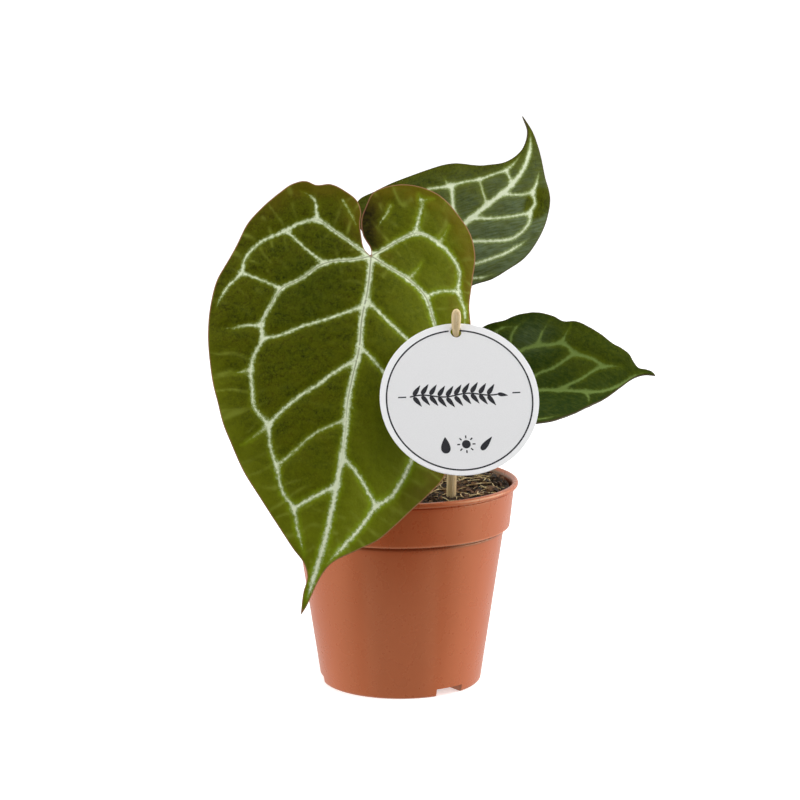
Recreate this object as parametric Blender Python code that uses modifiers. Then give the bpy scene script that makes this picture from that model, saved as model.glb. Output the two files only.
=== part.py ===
"""A potted crystal anthurium: three heart-shaped leaves with a raised net of pale veins, in a nursery pot.

Sizes are in millimetres and turned into Blender's metres by MM. +Z is up, the photographed side looks
along -Y, and the origin is the centre of the pot's flat underside.
"""
import math

import bmesh
import bpy
import numpy as np
from mathutils import Matrix, Vector, noise
from mathutils.geometry import delaunay_2d_cdt

MM = 0.001
GAP = 0.3             # clearance between pieces that touch
OBJECT_NAME = "potted_crystal_anthurium"

# Pot
POT_HEIGHT = 104.0
RIM_RADIUS = 60.0
BAND_TOP_RADIUS = 57.9
BAND_BOTTOM_RADIUS = 55.7
BAND_BOTTOM_Z = 80.8
SHOULDER_RADIUS = 52.9
SHOULDER_Z = 80.1
BASE_RADIUS = 40.9
WALL = 1.5
LEDGE = 1.3               # thickness of the step under the band
FLOOR = 1.6
BEAD_HEIGHT = 2.6
POT_STEPS = 60
NOTCH_AZIMUTHS = (-53.0, 67.0, 187.0)    # degrees about +Z from +X
NOTCH_WIDTH = 16.0
NOTCH_HEIGHT = 4.0
NOTCH_INNER_RADIUS = 24.0
DRAIN_RADIUS = 3.5
DRAIN_CENTRE_RADIUS = 31.0
POT_COLLAR = 1.5      # plastic round each notch, inside the pot

# Potting mix
SOIL_Z = 101.7
SOIL_RINGS = 11
SOIL_STEPS = 40
SOIL_LUMP = 1.5

# Crown, the short stem that the leaf stalks grow from
CROWN_TOP_Z = 108.0
CROWN_BOTTOM_Z = 84.0
CROWN_RADIUS = 10.5
SOCKET_DEPTH = 5.0

# Plant label
STICK_FOOT = (25.3, -31.8, 101.0)
STICK_TIP = (27.5, -46.4, 198.0)
STICK_BURIED = 42.0
STICK_WIDTH = 4.9
STICK_THICKNESS = 3.2
CARD_RADIUS = 38.6
CARD_THICKNESS = 0.8
CARD_PIERCED_AT = 86.0    # millimetres up the stick from the soil
CARD_HOLE_TO_CENTRE = 34.0
CARD_FACING = (0.081, -0.872, 0.478)

# Leaves
BLADE = 0.85          # thickness between the veins
RIB = 1.9             # thickness at a main vein, the extra being on the underside
PUFF = 0.9            # how far the panes between the veins stand up
PUFF_REACH = 3.5
VEIN_STEP = 4.5
MARGIN_STEP = 4.0
FLANK = 0.9           # from a vein's edge to the foot of its rib
RIPPLE_LENGTH = 17.0
RIPPLE_REACH = 9.0    # how far in from the margin the ripple is felt
STALK_SEGMENT = 6.0
STALK_END_GAP = 0.45

# A leaf's own plan: u runs from the stalk to the tip and v to one side, seen on the upper face.
# "push" is a soft dent: depth, its u, its length along u, and the v where it starts and is full.
LEAVES = {
    "front": {
        "junction": (-14.0, -24.0, 221.1), "tip": (-47.4, -101.0, 59.6), "facing": (0.07, -0.91, 0.42),
        "arch": 6.0, "lobe_arch": 0.5, "fold": (-0.12, -0.42), "fold_soft": 8.0, "sway": 4.0,
        "sinus_dip": 7.0, "push": (11.0, 72.0, 22.0, 22.0, 54.0), "ripple": 0.9, "seed": 3.0, "fill": 7.0,
        "low_edge": [(0, 0), (-2.8, -3.4), (-11, -6.9), (-17.5, -8.6), (-23, -9), (-28.5, -12), (-32, -19),
                     (-34, -27), (-32.5, -33.5), (-33.5, -39), (-31, -45), (-25, -51), (-17.5, -57),
                     (-6.5, -63), (5, -66), (16, -69), (26.5, -72), (37, -72.5), (55, -70.5),
                     (69.5, -66.5), (80.5, -62.5), (88, -59), (97.5, -54.5), (107, -48.5),
                     (121, -38.5), (131.5, -29), (141.5, -19.5), (151.5, -10), (158.5, -2.7),
                     (163.5, -0.4), (171, -0.8), (182, 0)],
        "high_edge": [(0, 0), (-3.4, -0.6), (-11, -6), (-19, -8.2), (-27, -7.3), (-35.5, -5), (-41.5, 3),
                      (-43.5, 13.5), (-42, 27), (-35.5, 38.5), (-29, 45.5), (-17.5, 51), (-4.5, 52),
                      (11, 53), (19, 55), (38, 57), (55, 56), (70, 54), (80, 53), (88, 54.3), (97.5, 56),
                      (109.5, 50), (119, 43.5), (130, 36), (138.5, 29.5), (145.5, 21), (157.5, 8.2),
                      (165.5, 5), (171.5, 3.5), (179.5, 1.3), (182, 0)],
        "midrib": (1.5, 0.6, [(0, 0), (18, 1.5), (34, 1.5), (49.5, 3), (63.5, 2.5), (77.5, 2.5), (89.5, 4),
                              (110.5, 5), (128.5, 5), (146, 4.5), (161, 3), (174.5, 1.6)]),
        "veins": [
            (1.1, 0.6, [(0, 0), (-6, -12), (-10, -20.5), (-14, -29.5), (-10.5, -38.5), (-6, -43.5),
                        (2.5, -55), (12, -60.5), (20, -61), (27.5, -65.5), (35.5, -68.5), (42, -69.5)]),
            (1.1, 0.6, [(0, 0), (4, -9.5), (5.5, -15.5), (8, -21.5), (18, -31.5), (25, -40), (35, -43.5),
                        (45.5, -46), (52, -44), (61.5, -46.5), (69, -46.5), (78, -44), (86.5, -41.5),
                        (95, -33), (104.5, -30), (114, -25), (125.5, -20), (133, -13), (143, -9),
                        (154, -3.5)]),
            (1.1, 0.6, [(0, 0), (-6, 6), (-15.5, 15.5), (-18.5, 19.5), (-17, 32), (-14, 37.5), (-6.5, 44.5),
                        (4.5, 46), (12.5, 50.5), (24, 52.5)]),
            (1.1, 0.9, [(0, 0), (3, 7.5), (6.5, 20), (12.5, 30), (22, 35.5), (33, 41), (46, 45.5),
                        (60, 46.5), (74, 44.5), (86, 41.5), (96, 38.5), (109, 35), (117, 31.5), (123, 25.5),
                        (132, 21.5), (145.5, 14), (156, 7.5)]),
            (0.8, 0.4, [(-14, -29.5), (-25.5, -34), (-28, -41)]),
            (0.6, 0.6, [(-6, -43.5), (0, -35), (4, -29), (8, -21.5)]),
            (0.6, 0.6, [(25, -40), (23, -47), (21.5, -53.5), (20, -61)]),
            (0.7, 0.4, [(45.5, -46), (46.5, -52.5), (49, -59), (50.5, -65)]),
            (0.5, 0.3, [(69, -46.5), (71, -52), (72, -57)]),
            (0.45, 0.2, [(95, -33), (100, -37), (107, -44)]),
            (0.8, 0.7, [(26.5, 1.5), (35, -12), (43, -27), (49, -36), (52, -44)]),
            (0.9, 0.8, [(55, 2.8), (63, -6.5), (71, -13.5), (77.5, -20.5), (88.5, -29), (95, -33)]),
            (0.5, 0.5, [(85, 3.6), (96.5, -11.5), (106.5, -19), (114, -25)]),
            (1.0, 0.8, [(118, 5), (127, -6.5), (133, -13)]),
            (0.35, 0.3, [(-27, -19), (-20, -13.5), (-15.5, -10.3), (-11.5, -9)]),
            (0.3, 0.6, [(-31, 4.5), (-25.5, 3.5), (-20.5, 1.5), (-16, 0.5)]),
            (0.8, 0.5, [(-18.5, 19.5), (-25.5, 19.5), (-35.5, 19.5), (-40, 17)]),
            (0.4, 0.3, [(-36, 19.3), (-37.5, 21.5), (-39.5, 26)]),
            (0.4, 0.3, [(-17, 32), (-28.5, 35.5)]),
            (0.45, 0.25, [(6.5, 20), (1.5, 23), (-6, 26)]),
            (0.6, 0.6, [(4.5, 46), (7, 38), (12.5, 30)]),
            (0.9, 0.7, [(23, 1.5), (30.5, 13), (38, 26), (46, 38), (50, 46)]),
            (0.7, 0.7, [(47.5, 3), (53, 11), (62, 22), (72, 34), (78, 43.5)]),
            (0.6, 0.3, [(77.5, 2.5), (80, 7)]),
            (0.9, 0.9, [(104, 5), (110, 13.5), (114.5, 18), (123, 25.5)]),
        ],
    },
    "back": {
        "junction": (6.3, 8.0, 214.1), "tip": (64.2, 58.0, 284.1), "facing": (0.24, -0.87, 0.43),
        "arch": 5.0, "lobe_arch": 0.6, "fold": (-0.15, -0.15), "fold_soft": 8.0, "sway": -17.0,
        "sinus_dip": 4.0, "push": (0.0, 0.0, 1.0, 0.0, 1.0), "ripple": 0.8, "seed": 11.0, "fill": 6.0,
        "low_edge": [(0, 0), (-5, -4), (-9, -11), (-7, -20), (1, -27), (11, -32), (19, -37.5), (29, -41.5),
                     (39, -44.5), (52, -44.5), (64, -42), (73.5, -37.5), (82.5, -28), (93, -17.5),
                     (100, -7.5), (103.5, 0)],
        "high_edge": [(0, 0), (-6, 2.5), (-11.5, 8), (-11, 14), (-6.5, 19), (-3, 25.5), (0.5, 33.5),
                      (10.5, 40.5), (20, 36.5), (30.5, 31.5), (45.5, 22.5), (56.5, 14.5), (66.5, 0),
                      (74.5, -7), (87.5, -10), (97, -7), (103.5, 0)],
        "midrib": (1.4, 1.1, [(0, 0), (17, -5), (33, -9.5), (46.5, -12.5), (57.5, -15.3), (66, -16.8),
                              (75, -17), (82.5, -15.8), (90.5, -13), (97.5, -8.5)]),
        "veins": [
            (1.0, 0.5, [(0, 0), (-3, 9), (0, 21), (10, 27.5), (24, 23), (38, 15), (44.5, 8.5), (51, 4),
                        (58, -2), (65, -6.3), (71, -10), (75, -10.9), (85, -11.3)]),
            (1.0, 0.8, [(0, 0), (12, -6.5), (27.5, -17.8), (35.5, -27), (43.5, -33.7), (50, -35.5),
                        (57, -35), (60, -33), (66.5, -32), (70.3, -27.8), (74.5, -27), (80, -25),
                        (84, -23.3)]),
            (0.9, 0.8, [(0, 0), (10, -14), (20, -26), (27.5, -31.2), (34, -35), (40.5, -37.7),
            (50, -40.7)]),
            (0.6, 0.6, [(0, 0), (5, -16), (13.5, -29.7), (17, -33.3), (24, -38.2)]),
            (1.2, 1.0, [(30, -8.8), (36.5, 0), (41, 3.6), (45.5, 6.5)]),
            (0.5, 0.4, [(48, -12.8), (53.5, -6.5), (58, -2)]),
            (0.6, 0.5, [(66, -16.5), (69, -13), (71, -10)]),
            (0.6, 0.3, [(44.5, 8.5), (48, 14)]),
            (0.7, 0.6, [(58.5, -15.5), (64.5, -23.5), (70.3, -27.8)]),
            (0.8, 0.7, [(37.5, -11), (43, -18), (49.5, -24.5), (60, -33)]),
            (0.8, 0.6, [(14, -4.2), (21, 8), (30, 19)]),
        ],
    },
    "right": {
        "junction": (41.5, 2.0, 150.5), "tip": (130.8, 14.0, 155.1), "facing": (0.04, -0.61, 0.79),
        "arch": 4.0, "lobe_arch": 0.6, "fold": (0.38, 0.38), "fold_soft": 8.0, "sway": -12.0,
        "sinus_dip": 4.0, "push": (0.0, 0.0, 1.0, 0.0, 1.0), "ripple": 1.3, "seed": 23.0, "fill": 6.0,
        "low_edge": [(0, 0), (-5, -3), (-10, -10), (-11, -20), (-6, -29), (4, -34.8), (13, -36.1),
                     (20.5, -35.6), (30, -33.6), (39, -29.6), (50.5, -22.7), (61, -15.4), (70, -7.8),
                     (77, -2.9), (83, -0.5), (90, 0)],
        "high_edge": [(0, 0), (-5, 2), (-11, 8), (-12, 18), (-6, 27), (5.5, 31.3), (16, 32.2),
                      (22.5, 34.3), (28.5, 34.2), (36.5, 32), (41.5, 30), (45.5, 27.2), (51.5, 26.8),
                      (58, 24), (64.5, 20), (70, 15.2), (74.5, 12.5), (77.5, 10), (79.5, 6),
                      (81.5, 3.4), (85.5, 3), (88.7, 2), (90, 0)],
        "midrib": (1.0, 0.55, [(0, 0), (13.5, -4), (28, -7.3), (38.5, -9), (49.5, -11.5), (56, -11.8),
                               (62, -10.3), (67, -8), (72.5, -5), (77.5, -1.8), (85, 1.3)]),
        "veins": [
            (0.9, 0.5, [(0, 0), (11, 10), (21.5, 15), (27.5, 16), (34, 16), (38.5, 15.5), (43, 15.8),
                        (46, 13.5), (49, 10), (53, 8.5), (57.5, 7), (60.3, 5), (62, 2.8), (66, 3),
                        (73, 3.2)]),
            (0.9, 0.4, [(0, 0), (4, -13), (10, -25), (22, -31.4), (28, -31), (35, -29)]),
            (0.6, 0.4, [(0, 0), (4, 12), (8, 23), (11, 27), (15, 28.3), (22, 27.5)]),
            (0.55, 0.5, [(22, -6), (27.5, 1), (37, 3.5), (44.5, 7.5), (49, 10)]),
            (0.55, 0.5, [(37.5, -9), (42, -7), (49.5, -4), (57, 0.5), (61.8, 2.9)]),
            (0.35, 0.2, [(43, 15.8), (45, 19), (49.5, 25.5)]),
            (0.35, 0.4, [(30.5, 16.2), (32, 19.5), (35, 24), (39.5, 29)]),
            (0.5, 0.3, [(17.5, 13.4), (17.5, 21), (21.5, 27.5), (27.5, 31)]),
            (0.5, 0.5, [(51.5, -12), (51.5, -17), (50.2, -22)]),
        ],
    },
}

# Each stalk rises from its socket in the crown and ends under its leaf's junction
STALKS = {
    "front": {"base": (-4.0, -3.6), "radii": (2.9, 2.1, 2.8),
              "route": [(-4.4, -3.2, 125.0), (-7.0, -1.0, 158.0), (-11.0, 2.5, 188.0)], "reach": 16.0},
    "back": {"base": (-0.6, 5.0), "radii": (2.7, 2.0, 2.6),
             "route": [(-0.8, 9.5, 126.0), (0.0, 17.0, 156.0), (1.8, 23.0, 186.0)], "reach": 15.0},
    "right": {"base": (4.8, -1.4), "radii": (2.5, 1.9, 2.5),
              "route": [(8.5, 2.0, 119.0), (17.5, 8.5, 125.5), (29.0, 13.0, 130.0)], "reach": 12.0},
}


def unit(v):
    v = np.array(v, float)
    return v / np.linalg.norm(v)


def smooth_path(points, step):
    """Points about every step millimetres on a smooth curve through the given points."""
    p = np.array(points, float)
    lengths = np.maximum(np.linalg.norm(np.diff(p, axis=0), axis=1), 1e-6)
    slopes = np.diff(p, axis=0) / lengths[:, None]
    tangents = np.empty_like(p)
    tangents[0], tangents[-1] = slopes[0], slopes[-1]
    before, after = lengths[:-1, None], lengths[1:, None]
    tangents[1:-1] = (slopes[:-1] * after + slopes[1:] * before) / (before + after)
    out = []
    for i, length in enumerate(lengths):
        count = max(1, round(length / step))
        for t in np.arange(count) / count:
            h = (1 + 2 * t) * (1 - t) ** 2 * p[i] + t * t * (3 - 2 * t) * p[i + 1]
            out.append(h + length * (t * (1 - t) ** 2 * tangents[i] - t * t * (1 - t) * tangents[i + 1]))
    return np.array(out + [p[-1]])


def distance_to_path(points, path):
    """Distance from each point to a polyline, and the place along it, from 0 to 1."""
    a, b = path[:-1], path[1:]
    d = b - a
    t = ((points[:, None] - a) * d).sum(-1) / np.maximum((d * d).sum(-1), 1e-9)
    t = np.clip(t, 0, 1)
    near = a + t[..., None] * d
    gap = np.linalg.norm(points[:, None] - near, axis=-1)
    best = gap.argmin(1)
    rows = np.arange(len(points))
    return gap[rows, best], (best + t[rows, best]) / len(a)


class LeafShape:
    """A leaf's plan, and the curved sheet that the plan lies on."""

    def __init__(self, spec):
        self.spec = spec
        self.origin = np.array(spec["junction"], float)
        chord = np.array(spec["tip"], float) - self.origin
        self.length = np.linalg.norm(chord)
        self.along = chord / self.length
        facing = np.array(spec["facing"], float)
        self.normal = unit(facing - self.along * (facing @ self.along))
        self.across = np.cross(self.normal, self.along)
        low = smooth_path(spec["low_edge"], MARGIN_STEP)
        high = smooth_path(spec["high_edge"], MARGIN_STEP)
        self.outline = np.vstack([low, high[-2:0:-1]])
        self.veins = []
        for start, end, points in [spec["midrib"]] + spec["veins"]:
            self.veins.append((start, end, smooth_path(self.joined(points), VEIN_STEP)))

    def joined(self, points):
        """The points of a vein, with an end that lies by an earlier vein moved onto it."""
        points = np.array(points, float)
        for end in (0, -1):
            for _, _, path in self.veins:
                gaps = np.linalg.norm(path - points[end], axis=1)
                if gaps.min() < 0.6 * VEIN_STEP:
                    points[end] = path[gaps.argmin()]
                    break
        return points

    def margin_distance(self, uv):
        return distance_to_path(uv, np.vstack([self.outline, self.outline[:1]]))[0]

    def vein_distance(self, uv):
        """Distance to the nearest vein's line, and how strong the vein is there, from 0 to 1."""
        nearest = np.full(len(uv), 1e9)
        strength = np.zeros(len(uv))
        for start, end, path in self.veins:
            gap, place = distance_to_path(uv, path)
            closer = gap < nearest
            nearest = np.where(closer, gap, nearest)
            strength = np.where(closer, (start + (end - start) * place) / self.spec["midrib"][0], strength)
        return nearest, strength

    def height(self, uv):
        """Height of the upper face over the plan's plane."""
        u, v = uv[:, 0], uv[:, 1]
        s = u / self.length
        spec = self.spec
        bow = 4 * spec["arch"] * np.where(s > 0, s * (1 - s), s * spec["lobe_arch"] / (1 + np.abs(s)))
        m = v - spec["sway"] * np.sin(np.pi * np.clip(s, 0, 1))
        low, high = spec["fold"]
        fold = np.where(m > 0, high, low) * (np.sqrt(m * m + spec["fold_soft"] ** 2) - spec["fold_soft"])
        dip = -spec["sinus_dip"] * np.exp(-(v / 13.0) ** 2) * np.clip(-u / 32.0, 0, 1)
        depth, centre, reach, start, full = spec["push"]
        pushed = np.clip((v - start) / (full - start), 0, 1) ** 2
        push = -depth * np.exp(-((u - centre) / reach) ** 2) * pushed
        edge = np.exp(-self.margin_distance(uv) / RIPPLE_REACH)
        wave = [noise.noise(Vector((a / RIPPLE_LENGTH, b / RIPPLE_LENGTH, spec["seed"]))) for a, b in uv]
        ripple = spec["ripple"] * np.array(wave) * (0.35 + 1.65 * edge)
        gap, _ = self.vein_distance(uv)
        puff = PUFF * (1 - np.exp(-(gap / PUFF_REACH) ** 2)) * np.clip(self.margin_distance(uv) / 6.0, 0, 1)
        return bow + fold + dip + push + ripple + puff

    def place(self, uv):
        """Points in space, in millimetres, of plan points on the upper face."""
        uv = np.atleast_2d(np.array(uv, float))
        w = self.height(uv)
        return self.origin + uv[:, :1] * self.along + uv[:, 1:] * self.across + w[:, None] * self.normal


def plan_points(shape):
    """The plan's mesh points: margin, vein lines, feet of the ribs and a sparse fill, with their edges."""
    points = [tuple(p) for p in shape.outline]
    rim = len(points)
    edges = [(i, (i + 1) % rim) for i in range(rim)]
    for start, end, path in shape.veins:
        first = len(points)
        points += [tuple(p) for p in path]
        edges += [(i, i + 1) for i in range(first, len(points) - 1)]
    lines = np.array(points)
    extra = []
    for start, end, path in shape.veins:
        middle = (path[:-1] + path[1:]) / 2
        way = np.diff(path, axis=0)
        side = np.stack([-way[:, 1], way[:, 0]], -1) / np.linalg.norm(way, axis=1)[:, None]
        width = start + (end - start) * (np.arange(len(middle)) + 0.5) / len(middle)
        for sign in (-1, 1):
            for p, reach in zip(middle + sign * side * (width + FLANK)[:, None], width + FLANK):
                extra.append((p, 0.93 * reach))
    kept = []
    margin = np.vstack([shape.outline, shape.outline[:1]])
    for p, clear in extra:
        here = p[None]
        if min(distance_to_path(here, path)[0][0] for _, _, path in shape.veins) < clear:
            continue
        if distance_to_path(here, margin)[0][0] < 1.2 or not inside(p, shape.outline):
            continue
        if kept and np.linalg.norm(np.array(kept) - p, axis=1).min() < 1.0:
            continue
        kept.append(p)
    lines = np.vstack([lines, np.array(kept)])
    fill = shape.spec["fill"]
    low, high = shape.outline.min(0), shape.outline.max(0)
    for row, u in enumerate(np.arange(low[0], high[0], fill * 0.87)):
        for v in np.arange(low[1] + (row % 2) * fill / 2, high[1], fill):
            p = np.array([u, v])
            if inside(p, shape.outline) and np.linalg.norm(lines - p, axis=1).min() > 0.55 * fill:
                kept.append(p)
    return points + [tuple(p) for p in kept], edges, rim


def inside(p, loop):
    """Whether a plan point lies inside the outline."""
    a, b = loop, np.roll(loop, -1, axis=0)
    crosses = (a[:, 1] > p[1]) != (b[:, 1] > p[1])
    at = a[:, 0] + (p[1] - a[:, 1]) / np.where(crosses, b[:, 1] - a[:, 1], 1) * (b[:, 0] - a[:, 0])
    return bool((crosses & (at > p[0])).sum() % 2)


def material(name, colour, roughness):
    mat = bpy.data.materials.new(name)
    mat.use_nodes = True
    shader = mat.node_tree.nodes["Principled BSDF"]
    shader.inputs["Base Color"].default_value = (*colour, 1.0)
    shader.inputs["Roughness"].default_value = roughness
    shader.inputs["Metallic"].default_value = 0.0
    return mat


def add_object(name, mesh, collection, mat=None):
    ob = bpy.data.objects.new(name, mesh)
    collection.objects.link(ob)
    if mat:
        mesh.materials.clear()
        mesh.materials.append(mat)
    return ob


def make_leaf(name, shape, collection, mat):
    """A blade: its upper face as triangles, given its thickness and the ribs under its veins by Solidify."""
    points, edges, rim = plan_points(shape)
    flat, _, faces, _, _, _ = delaunay_2d_cdt(
        [Vector(p) for p in points], edges, [list(range(rim))], 1, 1e-4)
    uv = np.array([tuple(p) for p in flat])
    mesh = bpy.data.meshes.new(name)
    mesh.from_pydata((shape.place(uv) * MM).tolist(), [], [list(f) for f in faces])
    ob = add_object(name, mesh, collection, mat)
    gap, strength = shape.vein_distance(uv)
    hub = np.exp(-(np.linalg.norm(uv, axis=1) / 4.0) ** 2)
    weight = np.clip(np.where(gap < 0.2, strength ** 0.5, 0.0) + hub, 0, 1)
    group = ob.vertex_groups.new(name="rib")
    for i, w in enumerate(weight):
        group.add([i], float(w), "REPLACE")
    solid = ob.modifiers.new("thickness", "SOLIDIFY")
    solid.thickness = RIB * MM
    solid.offset = -1.0
    solid.vertex_group = "rib"
    solid.thickness_vertex_group = BLADE / RIB
    mesh.shade_smooth()
    return ob


def make_stalk(name, shape, spec, collection, mat):
    """A leaf stalk: a tapered tube with a swollen joint just under the blade."""
    x, y = spec["base"]
    hub, ahead, beside = shape.place([(0.0, 0.0), (4.0, 0.0), (0.0, 4.0)])
    facing = unit(np.cross(ahead - hub, beside - hub))
    top = hub - facing * (RIB + STALK_END_GAP)
    behind = top - facing * spec["reach"] + np.array([0, 0, -0.25 * spec["reach"]])
    route = [(x, y, CROWN_TOP_Z - SOCKET_DEPTH + GAP), (x, y, CROWN_TOP_Z + 3.0)] + spec["route"]
    path = smooth_path(route + [tuple(behind), tuple(top - facing * 3.0), tuple(top)], STALK_SEGMENT)
    steps = np.linalg.norm(np.diff(path, axis=0), axis=1)
    run = np.concatenate([[0], np.cumsum(steps)])
    thick, thin, joint = spec["radii"]
    end = run[-1]
    radius = thin + (thick - thin) * np.exp(-run / (0.25 * end))
    radius = radius + (joint - thin) * np.exp(-((end - run - 5.0) / 5.0) ** 2)
    curve = bpy.data.curves.new(name, "CURVE")
    curve.dimensions = "3D"
    curve.bevel_depth = MM
    curve.bevel_resolution = 2
    curve.use_fill_caps = True
    spline = curve.splines.new("POLY")
    spline.points.add(len(path) - 1)
    for point, p, r in zip(spline.points, path, radius):
        point.co = (*(p * MM), 1.0)
        point.radius = float(r)
    curve.materials.append(mat)
    ob = bpy.data.objects.new(name, curve)
    collection.objects.link(ob)
    return ob


def turned(name, profile, steps, collection, mat=None):
    """A body turned about Z from a profile of (radius, height) points that runs down its outer side."""
    mesh = bpy.data.meshes.new(name)
    edges = [(i, i + 1) for i in range(len(profile) - 1)]
    mesh.from_pydata([(r * MM, 0, z * MM) for r, z in profile], edges, [])
    ob = add_object(name, mesh, collection, mat)
    screw = ob.modifiers.new("turn", "SCREW")
    screw.steps = screw.render_steps = steps
    screw.use_merge_vertices = True
    screw.merge_threshold = 0.00001
    screw.use_smooth_shade = True
    return ob


def cylinder(name, radius, low, high, segments, collection):
    mesh = bpy.data.meshes.new(name)
    bm = bmesh.new()
    bmesh.ops.create_cone(bm, cap_ends=True, segments=segments, radius1=radius * MM, radius2=radius * MM,
                          depth=(high - low) * MM,
                          matrix=Matrix.Translation((0, 0, (low + high) / 2 * MM)))
    bm.to_mesh(mesh)
    bm.free()
    return add_object(name, mesh, collection)


def box(name, low, high, collection):
    mesh = bpy.data.meshes.new(name)
    bm = bmesh.new()
    bmesh.ops.create_cube(bm, size=1.0)
    size = np.subtract(high, low) * MM
    centre = np.add(high, low) / 2 * MM
    bmesh.ops.transform(bm, matrix=Matrix.Translation(centre) @ Matrix.Diagonal((*size, 1.0)), verts=bm.verts)
    bm.to_mesh(mesh)
    bm.free()
    return add_object(name, mesh, collection)


def as_cutter(ob):
    ob.hide_render = True
    ob.display_type = "WIRE"
    return ob


def cut(ob, cutter):
    mod = ob.modifiers.new(cutter.name, "BOOLEAN")
    mod.operation = "DIFFERENCE"
    mod.solver = "EXACT"
    mod.object = as_cutter(cutter)


def notch_boxes(name, grow, low, collection):
    """The three blocks at the pot's base that hold, or are, its drainage notches."""
    half = NOTCH_WIDTH / 2 + grow
    blocks = []
    for i, azimuth in enumerate(NOTCH_AZIMUTHS):
        block = box(f"{name}_{i}", (NOTCH_INNER_RADIUS - grow, -half, low),
                    (BASE_RADIUS + 15.0, half, NOTCH_HEIGHT + grow), collection)
        block.rotation_euler.z = math.radians(azimuth)
        blocks.append(block)
    return blocks


def make_pot(collection, cutters, mat):
    """The nursery pot: a turned shell with a rolled bead on its band, and three drainage notches."""
    bead_z = POT_HEIGHT - BEAD_HEIGHT
    pot = turned("pot", [
        (0, POT_HEIGHT), (RIM_RADIUS - 1.4, POT_HEIGHT), (RIM_RADIUS - 0.4, POT_HEIGHT - 0.4),
        (RIM_RADIUS, POT_HEIGHT - 1.2), (RIM_RADIUS - 0.2, bead_z + 0.4), (BAND_TOP_RADIUS, bead_z),
        (BAND_BOTTOM_RADIUS, BAND_BOTTOM_Z), (BAND_BOTTOM_RADIUS - 0.6, BAND_BOTTOM_Z - 0.3),
        (SHOULDER_RADIUS, SHOULDER_Z), (BASE_RADIUS + 0.1, 0.9), (BASE_RADIUS - 0.7, 0), (0, 0),
    ], POT_STEPS, collection, mat)
    top = POT_HEIGHT + 2.0
    inner_base = BASE_RADIUS - WALL
    cavity = turned("pot_cavity", [
        (0, top), (RIM_RADIUS - 1.9, top), (RIM_RADIUS - 1.9, POT_HEIGHT - 0.2),
        (RIM_RADIUS - 2.9, POT_HEIGHT - 0.8), (BAND_TOP_RADIUS - WALL, bead_z),
        (BAND_BOTTOM_RADIUS - WALL, BAND_BOTTOM_Z + LEDGE), (SHOULDER_RADIUS - WALL, SHOULDER_Z + LEDGE),
        (inner_base, FLOOR), (0, FLOOR),
    ], POT_STEPS, cutters)
    for block in notch_boxes("notch_collar", POT_COLLAR, -2.0, cutters):
        cut(cavity, block)
    cut(pot, cavity)
    for block in notch_boxes("notch", 0.0, -2.0, cutters):
        cut(pot, block)
    for i, azimuth in enumerate(NOTCH_AZIMUTHS):
        drain = cylinder(f"drain_{i}", DRAIN_RADIUS, NOTCH_HEIGHT - 1.0, NOTCH_HEIGHT + POT_COLLAR + 2.0,
                         16, cutters)
        out = DRAIN_CENTRE_RADIUS * MM
        angle = math.radians(azimuth)
        drain.location = (out * math.cos(angle), out * math.sin(angle), 0)
        cut(pot, drain)
    return pot


def crown_profile(grow):
    """The crown's outline, or that of its seat in the soil when grown by a clearance."""
    r = CROWN_RADIUS + grow
    top = CROWN_TOP_Z + (20.0 if grow else 0.0)
    return [(0, top), (r - 2.5 + grow, top), (r - 1.5 + grow, CROWN_TOP_Z - 1.0), (r, CROWN_TOP_Z - 9.0),
            (r - 0.6, CROWN_TOP_Z - 16.0), (r - 3.0, CROWN_BOTTOM_Z - grow), (0, CROWN_BOTTOM_Z - grow)]


def make_crown(collection, cutters, mat):
    """The short stem, with a socket for each leaf stalk."""
    crown = turned("crown", crown_profile(0.0), 32, collection, mat)
    for name, spec in STALKS.items():
        hole = cylinder(f"socket_{name}", spec["radii"][0] + 0.35, CROWN_TOP_Z - SOCKET_DEPTH,
                        CROWN_TOP_Z + 10.0, 20, cutters)
        hole.location = (spec["base"][0] * MM, spec["base"][1] * MM, 0)
        cut(crown, hole)
    return crown


def stick_matrix():
    foot, tip = Vector(STICK_FOOT), Vector(STICK_TIP)
    up = (tip - foot).normalized()
    side = Vector((1, 0, 0)) - up * up.x
    side.normalize()
    ahead = up.cross(side)
    turn = Matrix((side, ahead, up)).transposed().to_4x4()
    return Matrix.Translation(foot * MM) @ turn


def make_stick(name, grow, collection, mat=None):
    """The label's stick, oval in section with a rounded tip, or its clearance hole when grown."""
    length = (Vector(STICK_TIP) - Vector(STICK_FOOT)).length + grow
    r = STICK_WIDTH / 2 + grow
    bottom = -STICK_BURIED - grow
    profile = [(0, length), (0.35 * r, length - 0.25), (0.72 * r, length - 1.1), (0.93 * r, length - 2.6),
               (r, length - 5.0), (r, bottom + 3.0), (0.8 * r, bottom), (0, bottom)]
    ob = turned(name, profile, 16, collection, mat)
    squeeze = (STICK_THICKNESS / 2 + grow) / r
    ob.matrix_world = stick_matrix() @ Matrix.Diagonal((1, squeeze, 1, 1))
    return ob


def card_matrix():
    """Where the card hangs: pierced by the stick near its top edge, and leaning back."""
    foot, tip = Vector(STICK_FOOT), Vector(STICK_TIP)
    pierced = foot + (tip - foot).normalized() * CARD_PIERCED_AT
    face = Vector(CARD_FACING).normalized()
    down = Vector((0, 0, -1)) - face * Vector((0, 0, -1)).dot(face)
    down.normalize()
    centre = pierced + down * CARD_HOLE_TO_CENTRE
    turn = Matrix((face.cross(down), -down, face)).transposed().to_4x4()
    return Matrix.Translation(centre * MM) @ turn


def make_card(collection, cutters, mat):
    card = cylinder("tag_card", CARD_RADIUS, -CARD_THICKNESS / 2, CARD_THICKNESS / 2, 72, collection)
    card.data.materials.append(mat)
    card.matrix_world = card_matrix()
    cut(card, make_stick("card_hole", GAP, cutters))
    return card


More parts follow.
